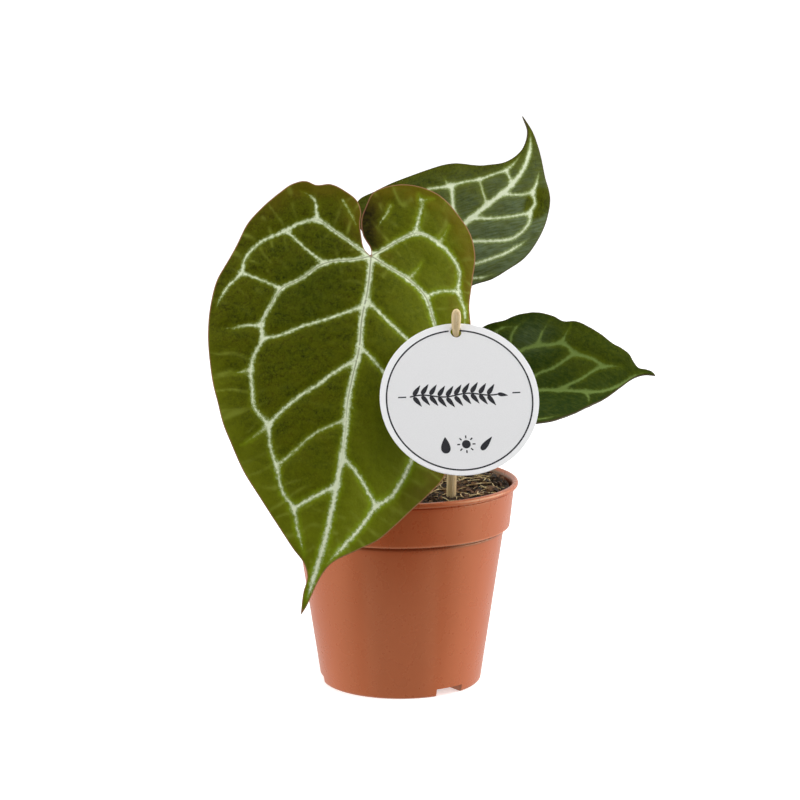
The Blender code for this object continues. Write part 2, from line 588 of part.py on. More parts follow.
def make_soil(collection, cutters, mat):
    """The potting mix: a plug that fits the pot, with a lumpy top and holes for the crown and the stick."""
    edge = BAND_TOP_RADIUS - WALL - 1.0
    rings = [(edge * i / SOIL_RINGS, SOIL_Z) for i in range(SOIL_RINGS)]
    side = [(edge, SOIL_Z - 0.6), (BAND_BOTTOM_RADIUS - WALL - GAP, BAND_BOTTOM_Z + LEDGE + 0.4),
            (SHOULDER_RADIUS - WALL - GAP, SHOULDER_Z + LEDGE + 0.4), (BASE_RADIUS - WALL - GAP, FLOOR + GAP),
            (0, FLOOR + GAP)]
    blank = turned("soil_blank", rings + side, SOIL_STEPS, cutters)
    bpy.context.view_layer.update()
    shaped = blank.evaluated_get(bpy.context.evaluated_depsgraph_get())
    mesh = bpy.data.meshes.new_from_object(shaped)
    bpy.data.objects.remove(blank)
    for vert in mesh.vertices:
        if vert.co.z > (SOIL_Z - 0.3) * MM:
            x, y = vert.co.x / MM, vert.co.y / MM
            lump = noise.noise(Vector((x / 5.0, y / 5.0, 1.7)))
            lump += 0.6 * noise.noise(Vector((x / 2.3, y / 2.3, 5.1)))
            vert.co.z += SOIL_LUMP * lump * MM
    mesh.name = "soil"
    soil = add_object("soil", mesh, collection, mat)
    cut(soil, turned("crown_seat", crown_profile(GAP), 32, cutters))
    cut(soil, make_stick("stick_hole", GAP, cutters))
    for block in notch_boxes("soil_notch", POT_COLLAR + GAP, -2.0, cutters):
        cut(soil, block)
    return soil


def main():
    for ob in list(bpy.data.objects):
        bpy.data.objects.remove(ob, do_unlink=True)
    parts = bpy.data.collections.new(OBJECT_NAME)
    cutters = bpy.data.collections.new("cutters")
    for group in (parts, cutters):
        bpy.context.scene.collection.children.link(group)

    terracotta = material("terracotta_plastic", (0.52, 0.17, 0.08), 0.42)
    soil_mix = material("potting_mix", (0.035, 0.022, 0.014), 0.95)
    crown_skin = material("crown_skin", (0.16, 0.11, 0.05), 0.8)
    stalk_green = material("stalk_green", (0.13, 0.19, 0.06), 0.5)
    leaf_green = material("leaf_green", (0.06, 0.10, 0.02), 0.55)
    pale_wood = material("pale_wood", (0.55, 0.42, 0.24), 0.6)
    card_white = material("card_white", (0.72, 0.72, 0.72), 0.7)

    make_pot(parts, cutters, terracotta)
    make_soil(parts, cutters, soil_mix)
    make_crown(parts, cutters, crown_skin)
    for name, spec in LEAVES.items():
        shape = LeafShape(spec)
        make_leaf(f"leaf_{name}", shape, parts, leaf_green)
        make_stalk(f"stalk_{name}", shape, STALKS[name], parts, stalk_green)
    make_stick("tag_stick", 0.0, parts, pale_wood)
    make_card(parts, cutters, card_white)


main()
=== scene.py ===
"""The looks of the potted crystal anthurium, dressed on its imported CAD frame.

Sizes are in millimetres and turned into Blender's metres by MM. +Z is up and the photographed side looks
along -Y. A leaf is described in its own plan: u runs from the stalk to the tip, v to one side.
"""

import math
import random

import bmesh
import bpy
import numpy as np
from mathutils import Matrix, Vector, noise
from mathutils.geometry import delaunay_2d_cdt


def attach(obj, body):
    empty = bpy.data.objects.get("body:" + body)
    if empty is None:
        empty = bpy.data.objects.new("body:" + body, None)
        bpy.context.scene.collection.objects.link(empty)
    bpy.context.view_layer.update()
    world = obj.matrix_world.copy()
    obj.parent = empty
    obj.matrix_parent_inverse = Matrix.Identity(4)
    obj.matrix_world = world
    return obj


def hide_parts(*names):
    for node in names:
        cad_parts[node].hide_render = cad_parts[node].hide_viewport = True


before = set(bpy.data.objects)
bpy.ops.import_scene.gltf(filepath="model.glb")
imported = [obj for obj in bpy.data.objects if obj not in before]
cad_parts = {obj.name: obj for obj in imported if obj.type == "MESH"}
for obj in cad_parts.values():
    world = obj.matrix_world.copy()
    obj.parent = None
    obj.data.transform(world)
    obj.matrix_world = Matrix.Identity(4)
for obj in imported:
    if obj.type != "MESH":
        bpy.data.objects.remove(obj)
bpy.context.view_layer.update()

MM = 0.001
GAP = 0.3

# Camera
CAMERA_AT = (0.0, -1295.0, 376.0)
CAMERA_LENS = 117.0
CAMERA_PITCH = -10.12     # degrees
CAMERA_ROLL = -0.17

# Studio, in metres
FLOOR_REACH = 40.0
FLOOR_GLOW = 0.55
# From the first depth to the second, the room goes from the first brightness to the second: above the
# horizon, and below it in place of the floor's.
ROOM_LIGHT = (-1.0, 0.4, 0.05, 0.9)
TABLE_LIGHT = (-0.8, -0.25, 0.07, 0.8)
HORIZON = (-0.2, 0.05)
SOFTBOXES = [
    ("left_box", (-1.2, -0.2, 0.45), (0.0, 0.0, 0.12), (1.3, 1.2), 2.4),
    ("right_box", (1.2, 0.0, 0.45), (0.0, 0.0, 0.12), (1.3, 1.2), 3.2),
    ("top_box", (0.0, -0.45, 1.35), (0.0, 0.0, 0.15), (1.2, 0.9), 2.05),
    ("table_glow", (0.0, -0.16, -0.06), (0.0, -0.03, 0.0), (0.3, 0.1), 0.5),
]

# Pot
POT_HEIGHT = 104.0
RIM_RADIUS = 60.0
BAND_TOP_RADIUS = 57.9
BAND_BOTTOM_RADIUS = 55.7
BAND_BOTTOM_Z = 80.8
SHOULDER_RADIUS = 52.9
SHOULDER_Z = 80.1
BASE_RADIUS = 40.9
WALL = 1.5
LEDGE = 1.3               # thickness of the step under the band
FLOOR = 1.6
BEAD_HEIGHT = 2.6
POT_STEPS = 192
NOTCH_AZIMUTHS = (-53.0, 67.0, 187.0)
NOTCH_WIDTH = 16.0
NOTCH_HEIGHT = 4.0
NOTCH_INNER_RADIUS = 24.0
DRAIN_RADIUS = 3.5
DRAIN_CENTRE_RADIUS = 31.0
POT_COLLAR = 1.5

# Potting mix
SOIL_Z = 101.7
SOIL_EDGE = 55.2
SOIL_LUMP = 1.1

# Crown
CROWN_TOP_Z = 108.0
CROWN_BOTTOM_Z = 84.0
CROWN_RADIUS = 10.5
SOCKET_DEPTH = 5.0
BRACTS = 7
BRACT_THICKNESS = 0.35

# Plant label
STICK_FOOT = (25.3, -31.8, 101.0)
STICK_TIP = (27.5, -46.4, 198.0)
STICK_BURIED = 42.0
STICK_WIDTH = 4.9
STICK_THICKNESS = 3.2
CARD_RADIUS = 38.6
CARD_THICKNESS = 0.8
CARD_PIERCED_AT = 86.0
CARD_HOLE_TO_CENTRE = 34.0
CARD_FACING = (0.081, -0.872, 0.478)
RING_RADIUS = 35.4
RING_WIDTH = 0.74
INK = 0.04                # how far print stands on the card
PRINT_DROP = 0.55         # the print's centre below the card's
PRINT_TURN = 1.4          # degrees
RING_GAP = 4.3            # degrees, to each side of the stick
MARKS_Y = -22.6           # the row of care marks

# Leaves
BLADE = 0.85
RIB = 1.9
PUFF = 0.9
PUFF_REACH = 3.5
CELL = 0.85               # spacing of a blade's mesh points
CELL_ROW = 0.866 * CELL   # and of their rows, which stand half a cell off one another
MEASURE_STEP = 2.0        # spacing of the lines that distances are measured to
JOIN_REACH = 2.7
MAIN_VEINS = 5            # how many of a leaf's first veins are main ones
VEIN_REACH = 22.0         # how far from a vein it still counts
TIP_FADE = 1.6            # how much a free vein's half width shrinks at its tip
TIP_LENGTH = 11.0
THREAD_SPACING = 8.0      # between the faint cross veins
WEB_SHARPNESS = 1.0       # how tightly the veins' webs fill the corners where they meet
RIPPLE_LENGTH = 17.0
RIPPLE_REACH = 9.0
STALK_END_GAP = 0.45
FAR = 60.0                # stands for any larger distance
NEXT_VEIN_RUN = 500       # sets the threads of one main vein apart from the next one's
RIB_LEVELS = 64           # steps of rib thickness
PLAN_SPAN = 100.0         # millimetres of plan in one unit of its UV map

# A leaf's plan has its outline as two edges from the stalk round to the tip, and each vein as its half widths
# at its start and end and its points. junction and tip are in space, facing is the way the upper face looks.
# arch, fold (low side, high side), sway (how far the fold's line bends), sinus_dip, push (depth, then the
# centre and reach along u, then where it starts and is full along v) and ripple shape the sheet. seed turns
# its noise. The rest are its looks: bloom is a grey painted sheen, haze a patch of it (centre, reach, share),
# rubbed a bare patch in it (centre, reach), deep how black the panes are (partly painted shade), gold how
# brown the margin is, cross the faint cross veins, and fray how ragged the veins are.
LEAVES = {
    "front": {
        "junction": (-14.0, -24.0, 221.1), "tip": (-47.4, -101.0, 59.6), "facing": (0.07, -0.91, 0.42),
        "arch": 6.0, "lobe_arch": 0.5, "fold": (-0.12, -0.42), "fold_soft": 8.0, "sway": 4.0,
        "sinus_dip": 7.0, "push": (11.0, 72.0, 22.0, 22.0, 54.0), "ripple": 0.9, "seed": 3.0, "painted_sheen": 0.0,
        "haze": (0.0, 0.0, 1.0, 1.0, 0.0), "sheen_gap": (60.0, 0.0, 1.0, 1.0), "deep": 0.0, "gold": 1.0,
        "cross": 1.0, "fray": 2.4,
        "low_edge": [(0, 0), (-2.8, -3.4), (-11, -6.9), (-17.5, -8.6), (-23, -9), (-28.5, -12), (-32, -19),
            (-34, -27), (-32.5, -33.5), (-33.5, -39), (-31, -45), (-25, -51), (-17.5, -57), (-6.5, -63),
            (5, -66), (16, -69), (26.5, -72), (37, -72.5), (55, -70.5), (69.5, -66.5), (80.5, -62.5),
            (88, -59), (97.5, -54.5), (107, -48.5), (121, -38.5), (131.5, -29), (141.5, -19.5), (151.5, -10),
            (158.5, -2.7), (163.5, -0.4), (171, -0.8), (182, 0)],
        "high_edge": [(0, 0), (-3.4, -0.6), (-11, -6), (-19, -8.2), (-27, -7.3), (-35.5, -5), (-41.5, 3),
            (-43.5, 13.5), (-42, 27), (-35.5, 38.5), (-29, 45.5), (-17.5, 51), (-4.5, 52), (11, 53),
            (19, 55), (38, 57), (55, 56), (70, 54), (80, 53), (88, 54.3), (97.5, 56), (109.5, 50),
            (119, 43.5), (130, 36), (138.5, 29.5), (145.5, 21), (157.5, 8.2), (165.5, 5), (171.5, 3.5),
            (179.5, 1.3), (182, 0)],
        "midrib": (1.5, 1.2, [(0, 0), (18, 1.5), (34, 1.5), (49.5, 3), (63.5, 2.5), (77.5, 2.5), (89.5, 4),
            (110.5, 5), (128.5, 5), (146, 4.5), (161, 3), (174.5, 1.6)]),
        "veins": [
            (1.1, 0.6, [(0, 0), (-6, -12), (-10, -20.5), (-14, -29.5), (-10.5, -38.5), (-6, -43.5),
                (2.5, -55), (12, -60.5), (20, -61), (27.5, -65.5), (35.5, -68.5), (42, -69.5)]),
            (1.1, 0.6, [(0, 0), (4, -9.5), (5.5, -15.5), (8, -21.5), (18, -31.5), (25, -40), (35, -43.5),
                (45.5, -46), (52, -44), (61.5, -46.5), (69, -46.5), (78, -44), (86.5, -41.5), (95, -33),
                (104.5, -30), (114, -25), (125.5, -20), (133, -13), (143, -9), (154, -3.5)]),
            (1.1, 0.6, [(0, 0), (-6, 6), (-15.5, 15.5), (-18.5, 19.5), (-17, 32), (-14, 37.5), (-6.5, 44.5),
                (4.5, 46), (12.5, 50.5), (24, 52.5)]),
            (1.1, 0.9, [(0, 0), (3, 7.5), (6.5, 20), (12.5, 30), (22, 35.5), (33, 41), (46, 45.5),
                (60, 46.5), (74, 44.5), (86, 41.5), (96, 38.5), (109, 35), (117, 31.5), (123, 25.5),
                (132, 21.5), (145.5, 14), (156, 7.5)]),
            (0.8, 0.4, [(-14, -29.5), (-25.5, -34), (-28, -41)]),
            (0.6, 0.6, [(-6, -43.5), (0, -35), (4, -29), (8, -21.5)]),
            (0.6, 0.6, [(25, -40), (23, -47), (21.5, -53.5), (20, -61)]),
            (0.7, 0.4, [(45.5, -46), (46.5, -52.5), (49, -59), (50.5, -65)]),
            (0.5, 0.3, [(69, -46.5), (71, -52), (72, -57)]),
            (0.45, 0.2, [(95, -33), (100, -37), (107, -44)]),
            (0.8, 0.7, [(26.5, 1.5), (35, -12), (43, -27), (49, -36), (52, -44)]),
            (0.9, 0.8, [(55, 2.8), (63, -6.5), (71, -13.5), (77.5, -20.5), (88.5, -29), (95, -33)]),
            (0.5, 0.5, [(85, 3.6), (96.5, -11.5), (106.5, -19), (114, -25)]),
            (1.0, 0.8, [(118, 5), (127, -6.5), (133, -13)]),
            (0.35, 0.3, [(-27, -19), (-20, -13.5), (-15.5, -10.3), (-11.5, -9)]),
            (0.3, 0.6, [(-31, 4.5), (-25.5, 3.5), (-20.5, 1.5), (-16, 0.5)]),
            (0.8, 0.5, [(-18.5, 19.5), (-25.5, 19.5), (-35.5, 19.5), (-40, 17)]),
            (0.4, 0.3, [(-36, 19.3), (-37.5, 21.5), (-39.5, 26)]),
            (0.4, 0.3, [(-17, 32), (-28.5, 35.5)]),
            (0.45, 0.25, [(6.5, 20), (1.5, 23), (-6, 26)]),
            (0.6, 0.6, [(4.5, 46), (7, 38), (12.5, 30)]),
            (0.9, 0.7, [(23, 1.5), (30.5, 13), (38, 26), (46, 38), (50, 46)]),
            (0.7, 0.7, [(47.5, 3), (53, 11), (62, 22), (72, 34), (78, 43.5)]),
            (0.6, 0.3, [(77.5, 2.5), (80, 7)]),
            (0.9, 0.9, [(104, 5), (110, 13.5), (114.5, 18), (123, 25.5)]),
        ],
    },
    "back": {
        "junction": (6.3, 8.0, 214.1), "tip": (64.2, 58.0, 284.1), "facing": (0.24, -0.87, 0.43),
        "arch": 5.0, "lobe_arch": 0.6, "fold": (-0.15, -0.15), "fold_soft": 8.0, "sway": -17.0,
        "sinus_dip": 4.0, "push": (0.0, 0.0, 1.0, 0.0, 1.0), "ripple": 0.8, "seed": 11.0, "painted_sheen": 0.78,
        "haze": (0.0, 0.0, 1.0, 1.0, 0.0), "sheen_gap": (67.5, -33.2, 10.0, 6.5), "deep": 0.2, "gold": 0.0,
        "cross": 0.1, "fray": 1.5,
        "low_edge": [(0, 0), (-5, -4), (-9, -11), (-7, -20), (1, -27), (11, -32), (19, -37.5), (29, -41.5),
            (39, -44.5), (52, -44.5), (64, -42), (73.5, -37.5), (82.5, -28), (93, -17.5), (100, -7.5),
            (103.5, 0)],
        "high_edge": [(0, 0), (-6, 2.5), (-11.5, 8), (-11, 14), (-6.5, 19), (-3, 25.5), (0.5, 33.5),
            (10.5, 40.5), (20, 36.5), (30.5, 31.5), (45.5, 22.5), (56.5, 14.5), (66.5, 0), (74.5, -7),
            (87.5, -10), (97, -7), (103.5, 0)],
        "midrib": (1.4, 1.1, [(0, 0), (17, -5), (33, -9.5), (46.5, -12.5), (57.5, -15.3), (66, -16.8),
            (75, -17), (82.5, -15.8), (90.5, -13), (97.5, -8.5)]),
        "veins": [
            (1.0, 0.5, [(0, 0), (-3, 9), (0, 21), (10, 27.5), (24, 23), (38, 15), (44.5, 8.5), (51, 4),
                (58, -2), (65, -6.3), (71, -10), (75, -10.9), (85, -11.3)]),
            (1.0, 0.8, [(0, 0), (12, -6.5), (27.5, -17.8), (35.5, -27), (43.5, -33.7), (50, -35.5),
                (57, -35), (60, -33), (66.5, -32), (70.3, -27.8), (74.5, -27), (80, -25), (84, -23.3)]),
            (0.9, 0.8, [(0, 0), (10, -14), (20, -26), (27.5, -31.2), (34, -35), (40.5, -37.7), (50, -40.7)]),
            (0.6, 0.6, [(0, 0), (5, -16), (13.5, -29.7), (17, -33.3), (24, -38.2)]),
            (1.2, 1.0, [(30, -8.8), (36.5, 0), (41, 3.6), (45.5, 6.5)]),
            (0.5, 0.4, [(48, -12.8), (53.5, -6.5), (58, -2)]),
            (0.6, 0.5, [(66, -16.5), (69, -13), (71, -10)]),
            (0.6, 0.3, [(44.5, 8.5), (48, 14)]),
            (0.7, 0.6, [(58.5, -15.5), (64.5, -23.5), (70.3, -27.8)]),
            (0.8, 0.7, [(37.5, -11), (43, -18), (49.5, -24.5), (60, -33)]),
            (0.8, 0.6, [(14, -4.2), (21, 8), (30, 19)]),
        ],
    },
    "right": {
        "junction": (41.5, 2.0, 150.5), "tip": (130.8, 14.0, 155.1), "facing": (0.04, -0.61, 0.79),
        "arch": 4.0, "lobe_arch": 0.6, "fold": (0.38, 0.38), "fold_soft": 8.0, "sway": -12.0,
        "sinus_dip": 4.0, "push": (0.0, 0.0, 1.0, 0.0, 1.0), "ripple": 1.3, "seed": 23.0, "painted_sheen": 0.06,
        "haze": (28.0, 21.0, 10.0, 8.0, 0.45), "sheen_gap": (60.0, 0.0, 1.0, 1.0), "deep": 0.85, "gold": 0.12,
        "cross": 0.0, "fray": 1.6,
        "low_edge": [(0, 0), (-5, -3), (-10, -10), (-11, -20), (-6, -29), (4, -34.8), (13, -36.1),
            (20.5, -35.6), (30, -33.6), (39, -29.6), (50.5, -22.7), (61, -15.4), (70, -7.8), (77, -2.9),
            (83, -0.5), (90, 0)],
        "high_edge": [(0, 0), (-5, 2), (-11, 8), (-12, 18), (-6, 27), (5.5, 31.3), (16, 32.2), (22.5, 34.3),
            (28.5, 34.2), (36.5, 32), (41.5, 30), (45.5, 27.2), (51.5, 26.8), (58, 24), (64.5, 20),
            (70, 15.2), (74.5, 12.5), (77.5, 10), (79.5, 6), (81.5, 3.4), (85.5, 3), (88.7, 2), (90, 0)],
        "midrib": (1.0, 0.55, [(0, 0), (13.5, -4), (28, -7.3), (38.5, -9), (49.5, -11.5), (56, -11.8),
            (62, -10.3), (67, -8), (72.5, -5), (77.5, -1.8), (85, 1.3)]),
        "veins": [
            (0.9, 0.5, [(0, 0), (11, 10), (21.5, 15), (27.5, 16), (34, 16), (38.5, 15.5), (43, 15.8),
                (46, 13.5), (49, 10), (53, 8.5), (57.5, 7), (60.3, 5), (62, 2.8), (66, 3), (73, 3.2)]),
            (0.9, 0.4, [(0, 0), (4, -13), (10, -25), (22, -31.4), (28, -31), (35, -29)]),
            (0.6, 0.4, [(0, 0), (4, 12), (8, 23), (11, 27), (15, 28.3), (22, 27.5)]),
            (0.55, 0.5, [(22, -6), (27.5, 1), (37, 3.5), (44.5, 7.5), (49, 10)]),
            (0.55, 0.5, [(37.5, -9), (42, -7), (49.5, -4), (57, 0.5), (61.8, 2.9)]),
            (0.35, 0.2, [(43, 15.8), (45, 19), (49.5, 25.5)]),
            (0.35, 0.4, [(30.5, 16.2), (32, 19.5), (35, 24), (39.5, 29)]),
            (0.5, 0.3, [(17.5, 13.4), (17.5, 21), (21.5, 27.5), (27.5, 31)]),
            (0.5, 0.5, [(51.5, -12), (51.5, -17), (50.2, -22)]),
        ],
    },
}

STALKS = {
    "front": {"base": (-4.0, -3.6), "radii": (2.9, 2.1, 2.8),
              "route": [(-4.4, -3.2, 125.0), (-7.0, -1.0, 158.0), (-11.0, 2.5, 188.0)], "reach": 16.0},
    "back": {"base": (-0.6, 5.0), "radii": (2.7, 2.0, 2.6),
             "route": [(-0.8, 9.5, 126.0), (0.0, 17.0, 156.0), (1.8, 23.0, 186.0)], "reach": 15.0},
    "right": {"base": (4.8, -1.4), "radii": (2.5, 1.9, 2.5),
              "route": [(8.5, 2.0, 119.0), (17.5, 8.5, 125.5), (29.0, 13.0, 130.0)], "reach": 12.0},
}


# Shapes in numbers

def unit(v):
    v = np.array(v, float)
    return v / np.linalg.norm(v)


def ramp(value, start, end):
    """From 0 at start to 1 at end, and level beyond them."""
    return np.clip((value - start) / (end - start), 0, 1)


def bell(value, centre, reach):
    return np.exp(-((value - centre) / reach) ** 2)


def bumps(*at):
    return noise.noise(Vector(at))


def smooth_path(points, step):
    """Points about every step millimetres on a smooth curve through the given points."""
    p = np.array(points, float)
    lengths = np.maximum(np.linalg.norm(np.diff(p, axis=0), axis=1), 1e-6)
    slopes = np.diff(p, axis=0) / lengths[:, None]
    tangents = np.empty_like(p)
    tangents[0], tangents[-1] = slopes[0], slopes[-1]
    before, after = lengths[:-1, None], lengths[1:, None]
    tangents[1:-1] = (slopes[:-1] * after + slopes[1:] * before) / (before + after)
    out = []
    for i, length in enumerate(lengths):
        count = max(1, round(length / step))
        for t in np.arange(count) / count:
            h = (1 + 2 * t) * (1 - t) ** 2 * p[i] + t * t * (3 - 2 * t) * p[i + 1]
            out.append(h + length * (t * (1 - t) ** 2 * tangents[i] - t * t * (1 - t) * tangents[i + 1]))
    return np.array(out + [p[-1]])


def distance_to_path(points, path):
    """Distance from each point to a polyline, and the place along it, from 0 to 1."""
    a, d = path[:-1], np.diff(path, axis=0)
    gaps, places = [], []
    for part in np.array_split(points, len(points) // 5000 + 1):
        t = ((part[:, None] - a) * d).sum(-1) / np.maximum((d * d).sum(-1), 1e-9)
        t = np.clip(t, 0, 1)
        gap = np.linalg.norm(part[:, None] - a - t[..., None] * d, axis=-1)
        best = gap.argmin(1)
        rows = np.arange(len(part))
        gaps.append(gap[rows, best])
        places.append((best + t[rows, best]) / len(a))
    return np.concatenate(gaps), np.concatenate(places)


def inside(points, loop):
    """Which plan points lie inside a closed outline."""
    found = np.zeros(len(points), bool)
    for a, b in zip(loop, np.roll(loop, -1, axis=0)):
        crosses = (a[1] > points[:, 1]) != (b[1] > points[:, 1])
        rise = b[1] - a[1] if b[1] != a[1] else 1.0
        found ^= crosses & (a[0] + (points[:, 1] - a[1]) / rise * (b[0] - a[0]) > points[:, 0])
    return found


def noise_at(points, length, seed):
    """Smooth noise, from -1 to 1, with features of about the given length."""
    p = np.atleast_2d(points) / length
    if p.shape[1] == 2:
        p = np.column_stack([p, np.full(len(p), seed)])
    else:
        p = p + seed
    return np.array([noise.noise(Vector(q)) for q in p])


class LeafShape:
    """A leaf's plan, and the curved sheet that the plan lies on."""

    def __init__(self, spec):
        self.spec = spec
        self.origin = np.array(spec["junction"], float)
        chord = np.array(spec["tip"], float) - self.origin
        self.length = np.linalg.norm(chord)
        self.along = chord / self.length
        facing = np.array(spec["facing"], float)
        self.normal = unit(facing - self.along * (facing @ self.along))
        self.across = np.cross(self.normal, self.along)
        self.edge = self.closed(MEASURE_STEP)
        self.outline = self.closed(CELL)[:-1]
        self.veins = []
        for start, end, points in [spec["midrib"]] + spec["veins"]:
            points, free = self.joined(points)
            paths = [smooth_path(points, step) for step in (MEASURE_STEP, CELL)]
            self.veins.append((start, end, free, *paths))

    def closed(self, step):
        low = smooth_path(self.spec["low_edge"], step)
        high = smooth_path(self.spec["high_edge"], step)
        return np.vstack([low, high[-2::-1]])

    def joined(self, points):
        """The points of a vein, and whether it ends free. An end by an earlier vein is moved onto it."""
        points = np.array(points, float)
        for end in (0, -1):
            free = True
            for *_, path in self.veins:
                gaps = np.linalg.norm(path - points[end], axis=1)
                if gaps.min() < JOIN_REACH:
                    points[end] = path[gaps.argmin()]
                    free = False
                    break
        return points, free

    def measure(self, uv):
        """Distances at plan points: to the margin, to the nearest vein's line, and to the webbed vein's edge.

        The last is below 0 inside a vein. Also how strong the nearest vein is, from 0 to 1, and the place
        along the nearest main vein, in millimetres.
        """
        nearest, nearest_main = np.full((2, len(uv)), FAR)
        strength, run, webs = np.zeros((3, len(uv)))
        for i, (start, end, free, path, _) in enumerate(self.veins):
            low, high = path.min(0) - VEIN_REACH, path.max(0) + VEIN_REACH
            near = np.nonzero(((uv > low) & (uv < high)).all(1))[0]
            gap, place = distance_to_path(uv[near], path)
            width = start + (end - start) * place
            closer = gap < nearest[near]
            nearest[near] = np.where(closer, gap, nearest[near])
            strength[near] = np.where(closer, width / self.spec["midrib"][0], strength[near])
            length = MEASURE_STEP * len(path)
            if i < MAIN_VEINS:
                closer = gap < nearest_main[near]
                nearest_main[near] = np.where(closer, gap, nearest_main[near])
                run[near] = np.where(closer, place * length + NEXT_VEIN_RUN * i, run[near])
            if free:
                width = width - TIP_FADE * np.clip(1 - (1 - place) * length / TIP_LENGTH, 0, 1) ** 1.5
            webs[near] += np.exp(-WEB_SHARPNESS * np.minimum(gap - width, FAR))
        return {"margin": distance_to_path(uv, self.edge)[0], "vein_line": nearest, "strength": strength,
                "run": run, "vein_edge": -np.log(np.maximum(webs, 1e-12)) / WEB_SHARPNESS}

    def threads(self, uv, measured):
        """Faint cross veins, from 0 to 1, that leave the main veins at their sides."""
        seed = self.spec["seed"]
        phase = measured["run"] / THREAD_SPACING + 0.5 * noise_at(uv, 16.0, seed + 3.0)
        whole = np.round(phase)
        off = np.abs(phase - whole) * THREAD_SPACING
        chance = np.abs(np.sin(whole * 12.9898 + seed)) ** 0.7
        line = bell(off, 0, 0.8) * chance * self.spec["cross"]
        broken = np.clip(0.6 + 1.2 * noise_at(uv, 5.0, seed + 9.0), 0, 1)
        return line * broken * ramp(measured["vein_edge"], 0.3, 1.8)

    def height(self, uv, measured):
        """Height of the upper face over the plan's plane."""
        u, v = uv.T
        s = u / self.length
        spec = self.spec
        bow = 4 * spec["arch"] * np.where(s > 0, s * (1 - s), s * spec["lobe_arch"] / (1 + np.abs(s)))
        m = v - spec["sway"] * np.sin(np.pi * np.clip(s, 0, 1))
        low, high = spec["fold"]
        fold = np.where(m > 0, high, low) * (np.sqrt(m * m + spec["fold_soft"] ** 2) - spec["fold_soft"])
        dip = -spec["sinus_dip"] * bell(v, 0, 13.0) * ramp(u, 0, -32.0)
        depth, centre, reach, start, full = spec["push"]
        push = -depth * bell(u, centre, reach) * ramp(v, start, full) ** 2
        edge = np.exp(-measured["margin"] / RIPPLE_REACH)
        ripple = spec["ripple"] * noise_at(uv, RIPPLE_LENGTH, spec["seed"]) * (0.35 + 1.65 * edge)
        gap = measured["vein_line"]
        puff = PUFF * (1 - bell(gap, 0, PUFF_REACH)) * ramp(measured["margin"], 0, 6.0)
        quilt = 0.16 * noise_at(uv, 3.2, spec["seed"] + 5.0) * (1 - bell(gap, 0, 2.5))
        channel = -0.28 * bell(gap, 0, 0.45) * measured["strength"] ** 2
        return bow + fold + dip + push + ripple + puff + quilt + channel

    def place(self, uv, measured=None):
        """Points in space, in millimetres, of plan points on the upper face."""
        uv = np.atleast_2d(np.array(uv, float))
        w = self.height(uv, measured or self.measure(uv))
        return self.origin + uv[:, :1] * self.along + uv[:, 1:] * self.across + w[:, None] * self.normal


# Meshes

def new_object(name, mesh):
    ob = bpy.data.objects.new(name, mesh)
    bpy.context.scene.collection.objects.link(ob)
    return ob


def mesh_object(name, points, faces, edges=()):
    mesh = bpy.data.meshes.new(name)
    mesh.from_pydata((np.array(points) * MM).tolist(), list(edges), list(faces))
    return new_object(name, mesh)


def settle(ob, sharp_angle=35.0):
    """Turns the object's modifiers into mesh, shaded smooth except at sharp edges."""
    bpy.context.view_layer.update()
    made = bpy.data.meshes.new_from_object(ob.evaluated_get(bpy.context.evaluated_depsgraph_get()))
    ob.modifiers.clear()
    old = ob.data
    ob.data = made
    bpy.data.meshes.remove(old)
    made.shade_smooth()
    made.set_sharp_from_angle(angle=math.radians(sharp_angle))
    return ob


def finish_piece(ob, nodes=(), materials=()):
    """Gives a piece its materials, and ties it to the frame."""
    if materials:
        ob.data.materials.clear()
        for mat in materials:
            ob.data.materials.append(mat)
    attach(ob, "root")
    if nodes:
        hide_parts(*nodes)


def turned(name, profile, steps):
    """A body turned about Z from a profile of (radius, height) points that runs down its outer side."""
    ob = mesh_object(name, [(r, 0, z) for r, z in profile], [], [(i, i + 1) for i in range(len(profile) - 1)])
    screw = ob.modifiers.new("turn", "SCREW")
    screw.steps = screw.render_steps = steps
    screw.use_merge_vertices = True
    screw.merge_threshold = 0.00001
    return ob


def rounded(profile, radius, longest):
    """The profile with its corners rounded and its long runs divided."""
    p = [np.array(q, float) for q in profile]
    out = [p[0]]
    for before, corner, after in zip(p, p[1:], p[2:]):
        to_before, to_after = before - corner, after - corner
        reach = min(radius, 0.4 * np.linalg.norm(to_before), 0.4 * np.linalg.norm(to_after))
        a, b = corner + unit(to_before) * reach, corner + unit(to_after) * reach
        for t in np.linspace(0, 1, 5):
            out.append((1 - t) ** 2 * a + 2 * t * (1 - t) * corner + t * t * b)
    out.append(p[-1])
    dense = [out[0]]
    for a, b in zip(out, out[1:]):
        count = max(1, math.ceil(np.linalg.norm(b - a) / longest))
        dense += [a + (b - a) * (k + 1) / count for k in range(count)]
    return [tuple(q) for q in dense]


def tube_faces(first, rings, sides):
    """The quads between the rings of a tube, whose points start at first."""
    faces = []
    for a in range(first, first + (rings - 1) * sides, sides):
        for j in range(sides):
            k = (j + 1) % sides
            faces.append((a + j, a + k, a + sides + k, a + sides + j))
    return faces


